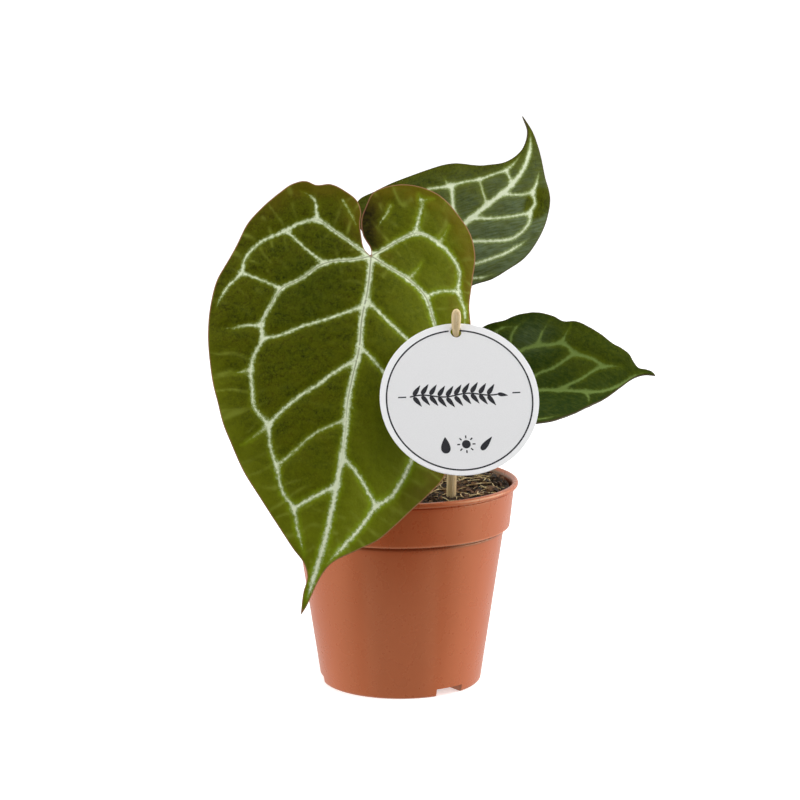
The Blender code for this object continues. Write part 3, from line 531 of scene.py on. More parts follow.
def tube(name, path, radii, sides, flatten=None):
    """A closed tube along a path, with a radius at each point. flatten gives a ring's shape by angle."""
    path = np.array(path, float)
    tangents = np.gradient(path, axis=0)
    tangents /= np.linalg.norm(tangents, axis=1)[:, None]
    side = unit(np.cross(tangents[0], (0.3, 1.0, 0.2)))
    angles = np.linspace(0, 2 * np.pi, sides, endpoint=False)
    shape = np.ones(sides) if flatten is None else flatten(angles)
    points = []
    for centre, tangent, radius in zip(path, tangents, radii):
        side = unit(side - tangent * (side @ tangent))
        up = np.cross(tangent, side)
        ring = np.cos(angles)[:, None] * side + np.sin(angles)[:, None] * up
        points.append(centre + ring * (radius * shape)[:, None])
    count = len(path)
    points = np.vstack(points + [path[:1], path[-1:]])
    faces = tube_faces(0, count, sides)
    end = (count - 1) * sides
    for j in range(sides):
        k = (j + 1) % sides
        faces += [(end + sides, k, j), (end + sides + 1, end + j, end + k)]
    return mesh_object(name, points, faces)


def box(name, low, high):
    x0, y0, z0 = low
    x1, y1, z1 = high
    points = [(x, y, z) for z in (z0, z1) for y in (y0, y1) for x in (x0, x1)]
    faces = [(0, 2, 3, 1), (4, 5, 7, 6), (0, 1, 5, 4), (2, 6, 7, 3), (0, 4, 6, 2), (1, 3, 7, 5)]
    return mesh_object(name, points, faces)


def settle_cut(ob, cutters, sharp_angle=35.0):
    """Takes the cutters out of the object, settles it and removes them."""
    for cutter in cutters:
        mod = ob.modifiers.new(cutter.name, "BOOLEAN")
        mod.operation = "DIFFERENCE"
        mod.solver = "EXACT"
        mod.object = cutter
    settle(ob, sharp_angle)
    for cutter in cutters:
        bpy.data.objects.remove(cutter, do_unlink=True)
    return ob


# Shader graphs

def linear(red, green, blue):
    """An sRGB colour from 0 to 255 as the linear colour that shaders take."""
    out = []
    for c in (red, green, blue):
        c /= 255.0
        out.append(c / 12.92 if c <= 0.04045 else ((c + 0.055) / 1.055) ** 2.4)
    return (*out, 1.0)


class Graph:
    """A material's or a world's node tree, built by calls that take numbers or other nodes' outputs.

    start and over lay sRGB colours one over another, and surface takes the result.
    """

    def __init__(self, owner):
        owner.use_nodes = True
        self.owner = owner
        self.tree = owner.node_tree
        self.colour = None

    def put(self, socket, value):
        if isinstance(value, bpy.types.NodeSocket):
            self.tree.links.new(value, socket)
        else:
            socket.default_value = value

    def node(self, kind, *inputs, output=0, **settings):
        """An output of a new node. The inputs are in the node's own order, and None leaves one alone."""
        made = self.tree.nodes.new("ShaderNode" + kind)
        for key, value in settings.items():
            setattr(made, key, value)
        for socket, value in zip(made.inputs, inputs):
            if value is not None:
                self.put(socket, value)
        return made.outputs[output]

    def attributes(self, *names):
        return [self.node("Attribute", attribute_name=name, output="Fac") for name in names]

    def scaled(self, vector, scale):
        return self.node("VectorMath", vector, None, None, scale, operation="SCALE")

    def plan(self):
        """The leaf plan's u and v in millimetres, as a vector."""
        return self.scaled(self.node("UVMap", uv_map="plan"), PLAN_SPAN)

    def place(self):
        """The point on the object, in millimetres, as a vector."""
        return self.scaled(self.node("TexCoord", output="Object"), 1 / MM)

    def stretched(self, vector, *scale):
        return self.node("Mapping", vector, None, None, scale)

    def noise(self, vector, length, detail=2.0, roughness=0.5):
        """Noise from about 0 to 1, with features of the given length in the vector's units."""
        return self.node("TexNoise", vector, None, 1.0 / length, detail, roughness)

    def cells(self, vector, length):
        """Distance to the edges of random cells, from 0 at an edge to about 0.5 in the middle."""
        return self.node("TexVoronoi", vector, None, 1.0 / length, feature="DISTANCE_TO_EDGE")

    def plus(self, a, b):
        return self.node("Math", a, b, operation="ADD")

    def minus(self, a, b):
        return self.node("Math", a, b, operation="SUBTRACT")

    def times(self, product, *factors):
        for factor in factors:
            product = self.node("Math", product, factor, operation="MULTIPLY")
        return product

    def step(self, value, low, high, at_low=0.0, at_high=1.0):
        """A smooth step from at_low, where value is low, to at_high, where it is high."""
        if low > high:
            low, high, at_low, at_high = high, low, at_high, at_low
        return self.node("MapRange", value, low, high, at_low, at_high, interpolation_type="SMOOTHSTEP")

    def mix(self, factor, a, b):
        a, b = (linear(*c) if isinstance(c, tuple) else c for c in (a, b))
        return self.node("Mix", factor, *[None] * 5, a, b, data_type="RGBA", output=2)

    def start(self, factor, a, b):
        self.colour = self.mix(factor, a, b)

    def over(self, factor, colour):
        self.colour = self.mix(factor, self.colour, colour)

    def bump(self, height, strength, distance):
        return self.node("Bump", strength, distance * MM, None, height)

    def surface(self, **inputs):
        shader = self.tree.nodes["Principled BSDF"]
        for key, value in {"Base_Color": self.colour, **inputs}.items():
            self.put(shader.inputs[key.replace("_", " ")], value)
        return self.owner


def material(name):
    return Graph(bpy.data.materials.new(name))


VEIN_PALE = (221, 230, 198)
VEIN_GREEN = (154, 170, 106)
VEIN_OLIVE = (130, 140, 50)
VEIN_DIM = (106, 126, 62)
PANE_DARK = (25, 29, 2)
PANE_GREEN = (76, 82, 4)
PANE_OLIVE = (70, 64, 1)
PANE_BRIGHT = (112, 122, 18)
PANE_HALO = (126, 150, 20)
PANE_BLACK = (22, 46, 2)
PANE_BROWN = (26, 20, 2)
MARGIN_DARK = (74, 66, 4)
MARGIN_GOLD = (98, 84, 8)
RIM_PINK = (150, 104, 78)
RIM_DARK = (70, 60, 30)
GROOVE_SHADE = (92, 96, 50)
# The colour of the painted sheen that stands in for light reflected off the leaves
SHEEN_GREY = (106, 121, 92)
LEAF_SHEEN = (1.0, 1.0, 0.55, 1.0)
POT_SHEEN = (0.88, 1.0, 0.64, 1.0)
FLOOR_GREY = (241, 241, 241)
FLOOR_WHITE = (246, 246, 246)
PINK_RIM = (0.125, 0.15)  # from where to where a leaf's gold turns its rim from dark to pink
COMBED_TURN = 0.62        # radians, of the fine streaks on the panes


def leaf_top_material():
    """The upper face: dark velvety panes, brighter by the veins, with ragged pale veins and olive margins."""
    g = material("leaf_upper_face")
    mm = g.plan()
    edge, margin, tone, fray = g.attributes("vein_edge", "margin", "tone", "fray")
    gold, deep, thread, sheen_fac = g.attributes("gold", "deep", "thread", "painted_sheen")
    strong, grooved = g.attributes("strong", "groove")
    ragged = g.minus(g.noise(mm, 1.7, 3.0), 0.5)
    blurred = g.plus(edge, g.times(ragged, fray))
    frayed = g.plus(blurred, g.times(g.minus(g.noise(mm, 0.45, 3.0, 0.6), 0.5), fray))

    patches = g.step(g.noise(mm, 9.0, 3.0), 0.36, 0.66)
    ribbing = g.step(g.noise(g.stretched(mm, 1.0, 0.25, 1.0), 2.6, 3.0), 0.34, 0.66)
    mottle = g.step(g.noise(mm, 2.2, 4.0, 0.7), 0.34, 0.66)
    grain = g.step(g.noise(mm, 0.9, 3.0, 0.7), 0.4, 0.7)
    g.start(g.times(patches, 0.7), PANE_DARK, PANE_OLIVE)
    g.over(g.times(mottle, 0.85), PANE_GREEN)
    g.over(g.times(grain, 0.32), PANE_BRIGHT)
    g.over(g.times(ribbing, 0.5), PANE_GREEN)
    # Brighter panes by the tone, which carries a painted margin highlight and painted lobe shade
    g.over(g.step(tone, 0.0, 1.0, 0.0, 0.62), PANE_BRIGHT)
    edging = g.plus(g.times(g.minus(patches, 0.5), 6.0), g.times(ragged, 5.0))
    brown = g.times(g.step(g.plus(margin, edging), 14.0, 0.0, 0.0, 0.7), g.step(gold, 0.0, 0.5))
    g.over(brown, g.mix(g.step(gold, 0.3, 0.9), MARGIN_DARK, MARGIN_GOLD))
    # Blacker panes where deep, which is partly painted shade
    deepened = g.times(deep, g.step(mottle, 0.0, 1.0, 1.0, 0.8))
    g.over(deepened, g.mix(g.step(gold, 0.3, 0.6), PANE_BLACK, PANE_BROWN))

    glow = g.times(g.step(g.noise(mm, 6.0, 2.0), 0.3, 0.7, 0.35, 0.85), g.step(tone, 0.0, 0.45, 0.5, 1.0))
    halo = g.times(g.step(blurred, 3.0, -0.2), glow, g.step(deep, 0.0, 1.0, 1.0, 0.25))
    g.over(halo, g.mix(tone, PANE_BRIGHT, PANE_HALO))
    by_margin = g.times(thread, g.step(margin, 26.0, 10.0, 0.1, 0.7))
    g.over(g.times(by_margin, g.step(deep, 0.2, 0.9, 1.0, 0.1)), VEIN_OLIVE)
    turned_mm = g.node("VectorRotate", mm, None, None, COMBED_TURN, rotation_type="Z_AXIS")
    combed = g.noise(g.stretched(turned_mm, 0.14, 1.0, 1.0), 0.9, 2.0)
    dull = g.times(g.step(gold, 0.5, 0.2), g.times(deep, g.step(combed, 0.45, 0.75, 0.0, 0.12)), patches)
    g.over(dull, VEIN_DIM)
    # A painted grey sheen, in clouds and combed streaks
    clouded = g.times(sheen_fac, g.step(g.noise(mm, 22.0, 2.0), 0.3, 0.6, 0.5, 0.85))
    g.over(g.times(clouded, g.step(combed, 0.3, 0.7, 0.4, 1.0)), SHEEN_GREY)

    vein = g.step(frayed, 0.8, -0.6)
    vein_colour = g.mix(g.step(frayed, 0.1, -1.0), VEIN_GREEN, VEIN_PALE)
    vein_colour = g.mix(strong, VEIN_OLIVE, vein_colour)
    # Veins dimmed where deep, as in the painted shade
    g.over(vein, g.mix(g.step(deep, 0.34, 0.5), vein_colour, VEIN_DIM))
    # Painted shade in the grooves of the front leaf's main veins
    g.over(g.step(grooved, 0.4, 0.85, 0.0, 0.6), GROOVE_SHADE)
    g.over(g.step(margin, 0.75, 0.15, 0.0, 0.8), g.mix(g.step(gold, *PINK_RIM), RIM_DARK, RIM_PINK))
    relief = g.plus(g.times(mottle, 0.5), g.times(vein, 0.5))
    return g.surface(Roughness=g.step(g.noise(mm, 2.0, 3.0), 0.2, 0.8, 0.48, 0.64),
                     Specular_IOR_Level=0.05, Specular_Tint=LEAF_SHEEN, Normal=g.bump(relief, 0.45, 0.25))


def leaf_under_material():
    """The underside: paler and matt, with light ribs and a faint net."""
    g = material("leaf_underside")
    mm = g.plan()
    edge, margin = g.attributes("vein_edge", "margin")
    veinlets = g.step(g.cells(mm, 5.5), 0.09, 0.0, 0.0, 0.35)
    g.start(g.step(g.noise(mm, 9.0, 4.0), 0.3, 0.7), (104, 124, 66), (124, 142, 80))
    g.over(veinlets, (158, 172, 112))
    g.over(g.step(margin, 6.0, 0.0, 0.0, 0.4), MARGIN_DARK)
    g.over(g.step(edge, 1.1, -0.4), (176, 188, 128))
    relief = g.plus(veinlets, g.times(g.noise(mm, 0.8, 3.0), 0.4))
    return g.surface(Roughness=g.step(g.noise(mm, 2.0, 2.0), 0.2, 0.8, 0.5, 0.66), Specular_IOR_Level=0.35,
                     Normal=g.bump(relief, 0.4, 0.2))


def leaf_rim_material():
    """The blade's thin edge: pink-brown on the front leaf, dark on the others."""
    g = material("leaf_rim")
    pink = g.mix(g.noise(g.plan(), 3.0, 3.0), (128, 78, 56), (172, 118, 92))
    g.start(g.step(*g.attributes("gold"), *PINK_RIM), RIM_DARK, pink)
    return g.surface(Roughness=0.6)


def stalk_material():
    """Leaf stalks: green with long paler streaks, browner at the foot."""
    g = material("stalk_skin")
    at = g.place()
    streaks = g.noise(g.stretched(at, 1.0, 1.0, 0.06), 0.9, 3.0)
    specks = g.step(g.noise(at, 0.6, 2.0), 0.66, 0.74)
    foot = g.step(g.node("SeparateXYZ", at, output="Z"), 128.0, 104.0)
    g.start(g.step(streaks, 0.35, 0.7), (84, 104, 44), (122, 140, 72))
    g.over(g.times(specks, 0.6), (150, 140, 96))
    g.over(g.times(foot, 0.7), (112, 76, 44))
    return g.surface(Roughness=g.step(streaks, 0.2, 0.8, 0.36, 0.55), Specular_IOR_Level=0.45,
                     Normal=g.bump(streaks, 0.35, 0.2))


def crown_material():
    g = material("crown_skin")
    at = g.place()
    fibres = g.noise(g.stretched(at, 1.0, 1.0, 0.12), 0.8, 5.0, 0.7)
    g.start(g.step(fibres, 0.3, 0.7), (58, 38, 22), (140, 108, 68))
    g.over(g.step(g.noise(at, 7.0, 2.0), 0.5, 0.66, 0.0, 0.5), (98, 104, 52))
    return g.surface(Roughness=0.82, Specular_IOR_Level=0.25, Normal=g.bump(fibres, 0.7, 0.5))


def peat_material():
    """Dark damp peat with paler flecks."""
    g = material("peat")
    at = g.place()
    grain = g.noise(at, 0.9, 6.0, 0.75)
    g.start(g.step(grain, 0.35, 0.68), (11, 8, 5), (92, 68, 48))
    g.over(g.step(g.noise(at, 0.7, 2.0), 0.73, 0.75), (176, 148, 112))
    return g.surface(Roughness=g.step(grain, 0.3, 0.7, 0.62, 0.95), Specular_IOR_Level=0.35,
                     Normal=g.bump(grain, 0.8, 0.5))


def bark_material():
    """Bark chips: some nearly black, some brown, with paler grain."""
    g = material("bark_chips")
    at = g.place()
    grain = g.noise(g.stretched(at, 1.0, 0.35, 1.0), 0.8, 6.0, 0.7)
    g.start(g.step(g.noise(at, 6.0, 1.0), 0.35, 0.65), (24, 16, 10), (126, 90, 60))
    g.over(g.step(grain, 0.5, 0.75, 0.0, 0.6), (160, 124, 90))
    return g.surface(Roughness=g.step(grain, 0.3, 0.7, 0.6, 0.9), Specular_IOR_Level=0.35,
                     Normal=g.bump(grain, 0.7, 0.5))


def straw_material():
    g = material("straw_fibres")
    at = g.place()
    g.start(g.step(g.noise(at, 4.0, 2.0), 0.3, 0.7), (150, 112, 66), (250, 226, 172))
    return g.surface(Roughness=0.7, Specular_IOR_Level=0.3, Normal=g.bump(g.noise(at, 0.3, 2.0), 0.4, 0.1))


def pot_material():
    """Satin terracotta plastic: painted shade inside the rim and under the band, a painted highlight on the
    band's lip.
    """
    g = material("moulded_plastic")
    at = g.place()
    x, y, z = (g.node("SeparateXYZ", at, output=axis) for axis in "XYZ")
    away = g.node("VectorMath", g.node("CombineXYZ", x, y), operation="LENGTH", output="Value")
    flow = g.noise(g.stretched(at, 1.0, 1.0, 0.15), 14.0, 3.0)
    g.start(g.step(flow, 0.3, 0.7), (188, 88, 46), (193, 92, 50))
    # Painted shade on the inner wall above the soil, in patches
    inner_wall_shade = g.times(g.step(away, 57.4, 56.6), g.step(z, 98.8, 100.4))
    g.over(g.times(inner_wall_shade, g.step(g.noise(at, 2.5, 4.0, 0.6), 0.2, 0.6, 0.45, 0.9)), (96, 54, 36))
    # Painted shade under the band's overhang
    g.over(g.times(g.step(z, 80.85, 80.6), g.step(z, 77.6, 79.6, 0.0, 0.55)), (84, 36, 20))
    # A painted highlight along the band's lower edge
    g.over(g.times(g.step(z, 80.85, 81.0), g.step(z, 81.9, 81.4, 0.0, 0.5)), (226, 136, 98))
    return g.surface(Roughness=g.step(g.noise(at, 8.0, 4.0), 0.25, 0.75, 0.25, 0.33), Specular_IOR_Level=0.85,
                     Specular_Tint=POT_SHEEN, Normal=g.bump(g.noise(at, 0.55, 3.0), 0.12, 0.06))


def stick_material():
    """Bamboo: pale, with fine darker fibres along its length, and painted shade where it passes behind the
    card.
    """
    g = material("bamboo")
    at = g.place()
    grain = g.noise(g.stretched(at, 1.0, 1.0, 0.03), 0.42, 4.0, 0.6)
    streak = g.noise(g.stretched(at, 1.0, 1.0, 0.05), 1.6, 2.0)
    pores = g.noise(g.stretched(at, 1.0, 1.0, 0.4), 0.5, 1.0)
    g.start(g.step(grain, 0.3, 0.7), (224, 194, 140), (246, 226, 184))
    g.over(g.step(streak, 0.52, 0.7, 0.0, 0.45), (176, 140, 88))
    g.over(g.step(pores, 0.68, 0.76, 0.0, 0.6), (128, 92, 52))
    # Painted shade on the stick where it runs through the card's hole and just behind the card
    through = stick_matrix().to_3x3().transposed() @ Vector(CARD_FACING).normalized()
    ahead = g.node("VectorMath", at, through, operation="DOT_PRODUCT", output="Value")
    behind = g.minus(CARD_PIERCED_AT * through.z, ahead)
    g.over(g.times(g.step(behind, -0.15, 0.2), g.step(behind, 3.2, 1.8)), (64, 38, 24))
    return g.surface(Roughness=g.step(grain, 0.3, 0.7, 0.5, 0.66), Specular_IOR_Level=0.4,
                     Normal=g.bump(grain, 0.4, 0.15))


def card_material():
    """Matt white card, its printed middle a little greyer than the border outside the ring."""
    g = material("card")
    at = g.place()
    flat = g.node("VectorMath", at, (1.0, 1.0, 0.0), operation="MULTIPLY")
    centred = g.node("VectorMath", flat, (0.0, PRINT_DROP, 0.0), operation="ADD")
    away = g.node("VectorMath", centred, operation="LENGTH", output="Value")
    fibre = g.noise(at, 0.5, 5.0, 0.7)
    g.start(g.step(fibre, 0.3, 0.7), (235, 235, 236), (240, 240, 241))
    g.over(g.step(away, RING_RADIUS - 0.2, RING_RADIUS + 0.2), (249, 249, 250))
    return g.surface(Roughness=0.62, Specular_IOR_Level=0.3, Normal=g.bump(fibre, 0.15, 0.05))


def ink_material():
    g = material("ink")
    g.start(g.noise(g.place(), 0.6, 3.0), (26, 26, 32), (42, 42, 48))
    return g.surface(Roughness=0.55, Specular_IOR_Level=0.3)


def floor_material():
    g = material("floor_white")
    g.start(g.noise(g.place(), 4.0, 2.0), FLOOR_GREY, FLOOR_WHITE)
    return g.surface(Roughness=0.9, Specular_IOR_Level=0.1, Emission_Color=(1, 1, 1, 1),
                     Emission_Strength=FLOOR_GLOW)


# Pieces

def blade_plan(shape):
    """The plan points and triangles of a fine mesh that follows the veins and the margin."""
    points = [tuple(p) for p in shape.outline]
    rim = list(range(len(points)))
    edges = []
    for *_, path in shape.veins:
        first = len(points)
        points += [tuple(p) for p in path]
        edges += [(i, i + 1) for i in range(first, len(points) - 1)]
    low, high = shape.outline.min(0), shape.outline.max(0)
    rows = []
    for k, u in enumerate(np.arange(low[0], high[0], CELL_ROW)):
        v = np.arange(low[1] + (k % 2) * CELL / 2, high[1], CELL)
        rows.append(np.column_stack([np.full(len(v), u), v]))
    fill = np.vstack(rows)
    fill = fill[inside(fill, shape.outline)]
    measured = shape.measure(fill)
    fill = fill[(measured["vein_line"] > 0.5 * CELL) & (measured["margin"] > 0.5 * CELL)]
    points += [tuple(p) for p in fill]
    flat, _, faces, *_ = delaunay_2d_cdt([Vector(p) for p in points], edges, [rim], 1, 1e-4)
    return np.array([tuple(p) for p in flat]), [list(f) for f in faces]


def blade_looks(shape, uv, measured):
    """What the leaf materials read at each plan point, from 0 to 1 or in millimetres.

    The front leaf alone has painted shade in the grooves of its main veins, painted shade on the edge of its
    high lobe by the sinus, a painted highlight along its margin, and a painted shaded spot.
    """
    spec = shape.spec
    u, v = uv.T
    s = np.clip(u / shape.length, 0, 1)
    margin, strength = measured["margin"], measured["strength"]
    front = spec["gold"] > 0.5
    side = v - spec["sway"] * np.sin(np.pi * s)
    turn = np.tanh((side - 6.0) / 22.0)
    grooved = front * np.clip(1.5 - np.linalg.norm(uv, axis=1) / (0.62 * shape.length), 0, 1)
    # Painted shade where the high lobe's inner edge curls back by the sinus
    past_sinus = v + 8.6 * np.tanh(-np.minimum(u, 0) / 11.0)
    dark_lobe = np.clip(1.55 - past_sinus / 7.5, 0, 1) * (past_sinus > 0)
    dark_lobe *= front * ramp(u, -1.0, -6.0) * ramp(u, -37.0, -25.0)
    edge_light = 0.8 * front * ramp(s, 0.15, 0.4) * np.exp(-margin / 11.0)
    shade = 0.34 * front * bell(u, 20, 26) * bell(v, -26, 17)
    # A painted lit patch on the high side that takes some of the deep panes' darkness away
    sunlit = ramp(side, 0, 15.0) * ramp(s, 0.35, 0.55)
    golden = 0.5 + 0.4 * turn + 0.5 * ramp(u, 0, -25.0) - 0.6 * ramp(s, 0.4, 0.7)
    # The tone rises toward the high side and the tip, gains the painted margin highlight and loses the
    # painted lobe shade
    tone = np.clip(0.4 * turn + 0.27 + 0.7 * s ** 2 + edge_light - dark_lobe, 0, 1)
    # The painted grey sheen: bare in one patch, stronger on the low side, fading toward the tip and the
    # margin
    sheen_gap_u, sheen_gap_v, reach_u, reach_v = spec["sheen_gap"]
    sheen_gap = np.clip(4 * np.hypot((u - sheen_gap_u) / reach_u, (v - sheen_gap_v) / reach_v) - 3.6, 0, 1)
    painted_sheen = spec["painted_sheen"] * sheen_gap * np.clip(1.0 - side / 50.0, 0.35, 1.25) * (1 - s ** 3)
    painted_sheen *= np.clip(0.1 + margin / 10.0 + np.clip(-side / 20.0, 0, 0.8), 0, 1)
    haze_u, haze_v, reach_u, reach_v, haze = spec["haze"]
    return {
        "vein_edge": measured["vein_edge"],
        "margin": np.minimum(margin, 40.0),
        "groove": np.clip(1 - measured["vein_line"] / CELL, 0, 1) * ramp(strength, 0.47, 0.67) * grooved,
        "tone": tone * (0.15 + 0.85 * spec["gold"]),
        "strong": ramp(strength, 0.12, 0.4),
        "painted_sheen": painted_sheen + haze * bell(u, haze_u, reach_u) * bell(v, haze_v, reach_v),
        "deep": np.clip(spec["deep"] * (1 - 0.35 * sunlit) + dark_lobe + shade, 0, 1),
        "gold": spec["gold"] * np.clip(golden, 0.15, 1),
        "fray": np.full(len(uv), spec["fray"]),
        "thread": shape.threads(uv, measured),
    }


def make_blade(name, shape, materials):
    """A leaf blade, with its ribs standing out underneath."""
    uv, faces = blade_plan(shape)
    measured = shape.measure(uv)
    ob = mesh_object(name, shape.place(uv, measured), faces)
    mesh = ob.data
    for key, values in blade_looks(shape, uv, measured).items():
        layer = mesh.attributes.new(key, "FLOAT", "POINT")
        layer.data.foreach_set("value", values.astype(np.float32))
    plan = mesh.uv_layers.new(name="plan")
    corners = np.empty(len(mesh.loops), np.int32)
    mesh.loops.foreach_get("vertex_index", corners)
    plan.data.foreach_set("uv", (uv[corners] / PLAN_SPAN).astype(np.float32).ravel())
    strength = measured["strength"]
    hub = bell(np.linalg.norm(uv, axis=1), 0, 4.0)
    rib = strength ** 0.5 * bell(measured["vein_line"], 0, 0.9 + 0.9 * strength)
    weight = np.clip(rib + hub, 0, 1) * np.clip(0.25 + measured["margin"] / 3.0, 0, 1)
    levels = np.round(weight * RIB_LEVELS).astype(int)
    group = ob.vertex_groups.new(name="rib")
    for level in range(RIB_LEVELS + 1):
        group.add(np.nonzero(levels == level)[0].tolist(), level / RIB_LEVELS, "REPLACE")
    for mat in materials:
        mesh.materials.append(mat)
    solid = ob.modifiers.new("thickness", "SOLIDIFY")
    solid.thickness = RIB * MM
    solid.offset = -1.0
    solid.vertex_group = "rib"
    solid.thickness_vertex_group = BLADE / RIB
    solid.material_offset = 1
    solid.material_offset_rim = 2
    return settle(ob, 180.0)


def make_stalk(name, shape, spec):
    """A leaf stalk: tapered, faintly grooved, and swollen into a wrinkled joint under the blade."""
    x, y = spec["base"]
    hub, ahead, beside = shape.place([(0.0, 0.0), (4.0, 0.0), (0.0, 4.0)])
    facing = unit(np.cross(ahead - hub, beside - hub))
    top = hub - facing * (RIB + STALK_END_GAP)
    behind = top - facing * spec["reach"] + np.array([0, 0, -0.25 * spec["reach"]])
    route = [(x, y, CROWN_TOP_Z - SOCKET_DEPTH + GAP), (x, y, CROWN_TOP_Z + 3.0)] + spec["route"]
    path = smooth_path(route + [tuple(behind), tuple(top - facing * 3.0), tuple(top)], 1.0)
    run = np.concatenate([[0], np.cumsum(np.linalg.norm(np.diff(path, axis=0), axis=1))])
    thick, thin, joint = spec["radii"]
    to_end = run[-1] - run
    radius = thin + (thick - thin) * np.exp(-run / (0.25 * run[-1])) + (joint - thin) * bell(to_end, 5.0, 5.0)
    radius *= 1 + 0.03 * noise_at(path, 6.0, 2.0)
    radius *= 1 + 0.035 * bell(to_end, 5.0, 4.5) * np.sin(run * 2.6)
    return settle(tube(name, path, radius, 20, lambda angle: 1 - 0.09 * bell(angle, np.pi / 2, 0.5)))


def crown_profile():
    r = CROWN_RADIUS
    return [(0, CROWN_TOP_Z), (r - 2.5, CROWN_TOP_Z), (r - 1.5, CROWN_TOP_Z - 1.0), (r, CROWN_TOP_Z - 9.0),
            (r - 0.6, CROWN_TOP_Z - 16.0), (r - 3.0, CROWN_BOTTOM_Z), (0, CROWN_BOTTOM_Z)]


def make_crown():
    """The short stem: scarred and ringed, with a socket round each stalk."""
    crown = turned("crown_stem", rounded(crown_profile(), 1.5, 0.9), 72)
    settle(crown, 180.0)
    for vert in crown.data.vertices:
        p = vert.co / MM
        away = math.hypot(p.x, p.y)
        if away < 1.0:
            continue
        ring = 0.35 * math.sin(p.z * 1.9 + 2.0 * noise.noise(p / 6.0))
        rough = 0.5 * noise.noise(p / 2.2) + 0.5 * noise.noise(p / 5.0) - 0.5
        scale = 1 + (ring + rough) * 0.5 / away
        vert.co.x *= scale
        vert.co.y *= scale
        if p.z > CROWN_TOP_Z - 0.5:
            vert.co.z += (0.5 * noise.noise(p / 2.0) - 0.4) * MM
    holes = []
    for name, spec in STALKS.items():
        x, y = spec["base"]
        holes.append(tube(f"socket_{name}", [(x, y, CROWN_TOP_Z - SOCKET_DEPTH), (x, y, CROWN_TOP_Z + 9.0)],
                          [spec["radii"][0] + 0.35] * 2, 28))
    return settle_cut(crown, holes)


def make_bracts():
    """Dry papery scales that stand round the stalks on the crown."""
    rng = random.Random(7)
    radius = CROWN_RADIUS - 1.6
    rows, cols = 14, 7
    across = cols + 1
    layer = (rows + 1) * across
    border = list(range(cols)) + [i * across + cols for i in range(rows)]
    border += [rows * across + j for j in range(cols, 0, -1)] + [i * across for i in range(rows, 0, -1)]
    points, faces = [], []
    for k in range(BRACTS):
        angle = 2 * math.pi * k / BRACTS + rng.uniform(-0.25, 0.25)
        height = rng.uniform(8.0, 15.0)
        width = rng.uniform(4.0, 6.0)
        lean = rng.uniform(1.0, 3.5)
        first = len(points)
        for side in (0.0, BRACT_THICKNESS):
            for i in range(rows + 1):
                t = i / rows
                half = width * math.sqrt(max(0.0, 1 - t)) * (0.75 + 0.25 * (1 - t))
                for j in range(cols + 1):
                    w = 2 * j / cols - 1
                    out = radius + side + lean * t * t + 0.5 * bumps(k * 9.0, t * 5, w * 2)
                    turn = angle + w * half / radius
                    tear = 0.9 * bumps(w * 5, k * 3.0, 1.0) * t
                    z = CROWN_TOP_Z - 3.5 + t * height * (1 - 0.22 * w * w) + tear
                    points.append((out * math.cos(turn), out * math.sin(turn), z))
        for i in range(rows):
            for j in range(cols):
                a = first + i * across + j
                b = a + layer
                faces += [(a, a + across, a + across + 1, a + 1), (b, b + 1, b + across + 1, b + across)]
        for a, b in zip(border, border[1:] + border[:1]):
            faces.append((first + a, first + b, first + b + layer, first + a + layer))
    return settle(mesh_object("crown_bracts", points, faces), 60.0)


def soil_height(x, y):
    return SOIL_Z + SOIL_LUMP * (bumps(x / 5.0, y / 5.0, 1.7) + 0.6 * bumps(x / 2.3, y / 2.3, 5.1))


def make_soil_bed():
    """The mix's body, with a crumbly top."""
    rings = [(SOIL_EDGE * i / 70, SOIL_Z) for i in range(70)]
    side = [(SOIL_EDGE, SOIL_Z - 0.6), (BAND_BOTTOM_RADIUS - WALL - GAP, BAND_BOTTOM_Z + LEDGE + 0.4),
            (SHOULDER_RADIUS - WALL - GAP, SHOULDER_Z + LEDGE + 0.4), (BASE_RADIUS - WALL - GAP, FLOOR + GAP),
            (0, FLOOR + GAP)]
    soil = settle(turned("soil_bed", rings + side, 160), 40.0)
    for vert in soil.data.vertices:
        if vert.co.z > (SOIL_Z - 0.3) * MM:
            x, y = vert.co.x / MM, vert.co.y / MM
            crumb = 0.7 * abs(bumps(x / 1.1, y / 1.1, 8.0)) + 0.35 * bumps(x / 0.6, y / 0.6, 2.0)
            vert.co.z = (soil_height(x, y) + crumb - 0.6) * MM
    wide, bottom = CROWN_RADIUS + 0.6, CROWN_BOTTOM_Z - GAP
    seat = [(0, 125), (wide, 125), (wide, CROWN_TOP_Z - 9), (CROWN_RADIUS - 2.4, bottom), (0, bottom)]
    cutters = [turned("crown_seat", seat, 48)]
    cutters += [notch_box(azimuth, POT_COLLAR + GAP) for azimuth in NOTCH_AZIMUTHS]
    cutters.append(make_stick_body("stick_hole", GAP))
    return settle_cut(soil, cutters, 60.0)


def is_clear(x, y, of_wall, of_crown, of_stick):
    """Whether a place on the soil is that far from the wall, the crown and the stick's middle."""
    if math.hypot(x - STICK_FOOT[0], y - STICK_FOOT[1]) < of_stick:
        return False
    return CROWN_RADIUS + of_crown <= math.hypot(x, y) <= SOIL_EDGE - of_wall


def scatter_spot(rng, clear):
    """A random place on the soil, clear of the wall, the crown and the stick."""
    while True:
        r = SOIL_EDGE * math.sqrt(rng.random())
        a = rng.uniform(0, 2 * math.pi)
        x, y = r * math.cos(a), r * math.sin(a)
        if is_clear(x, y, clear, clear, 3.0 + clear):
            return x, y


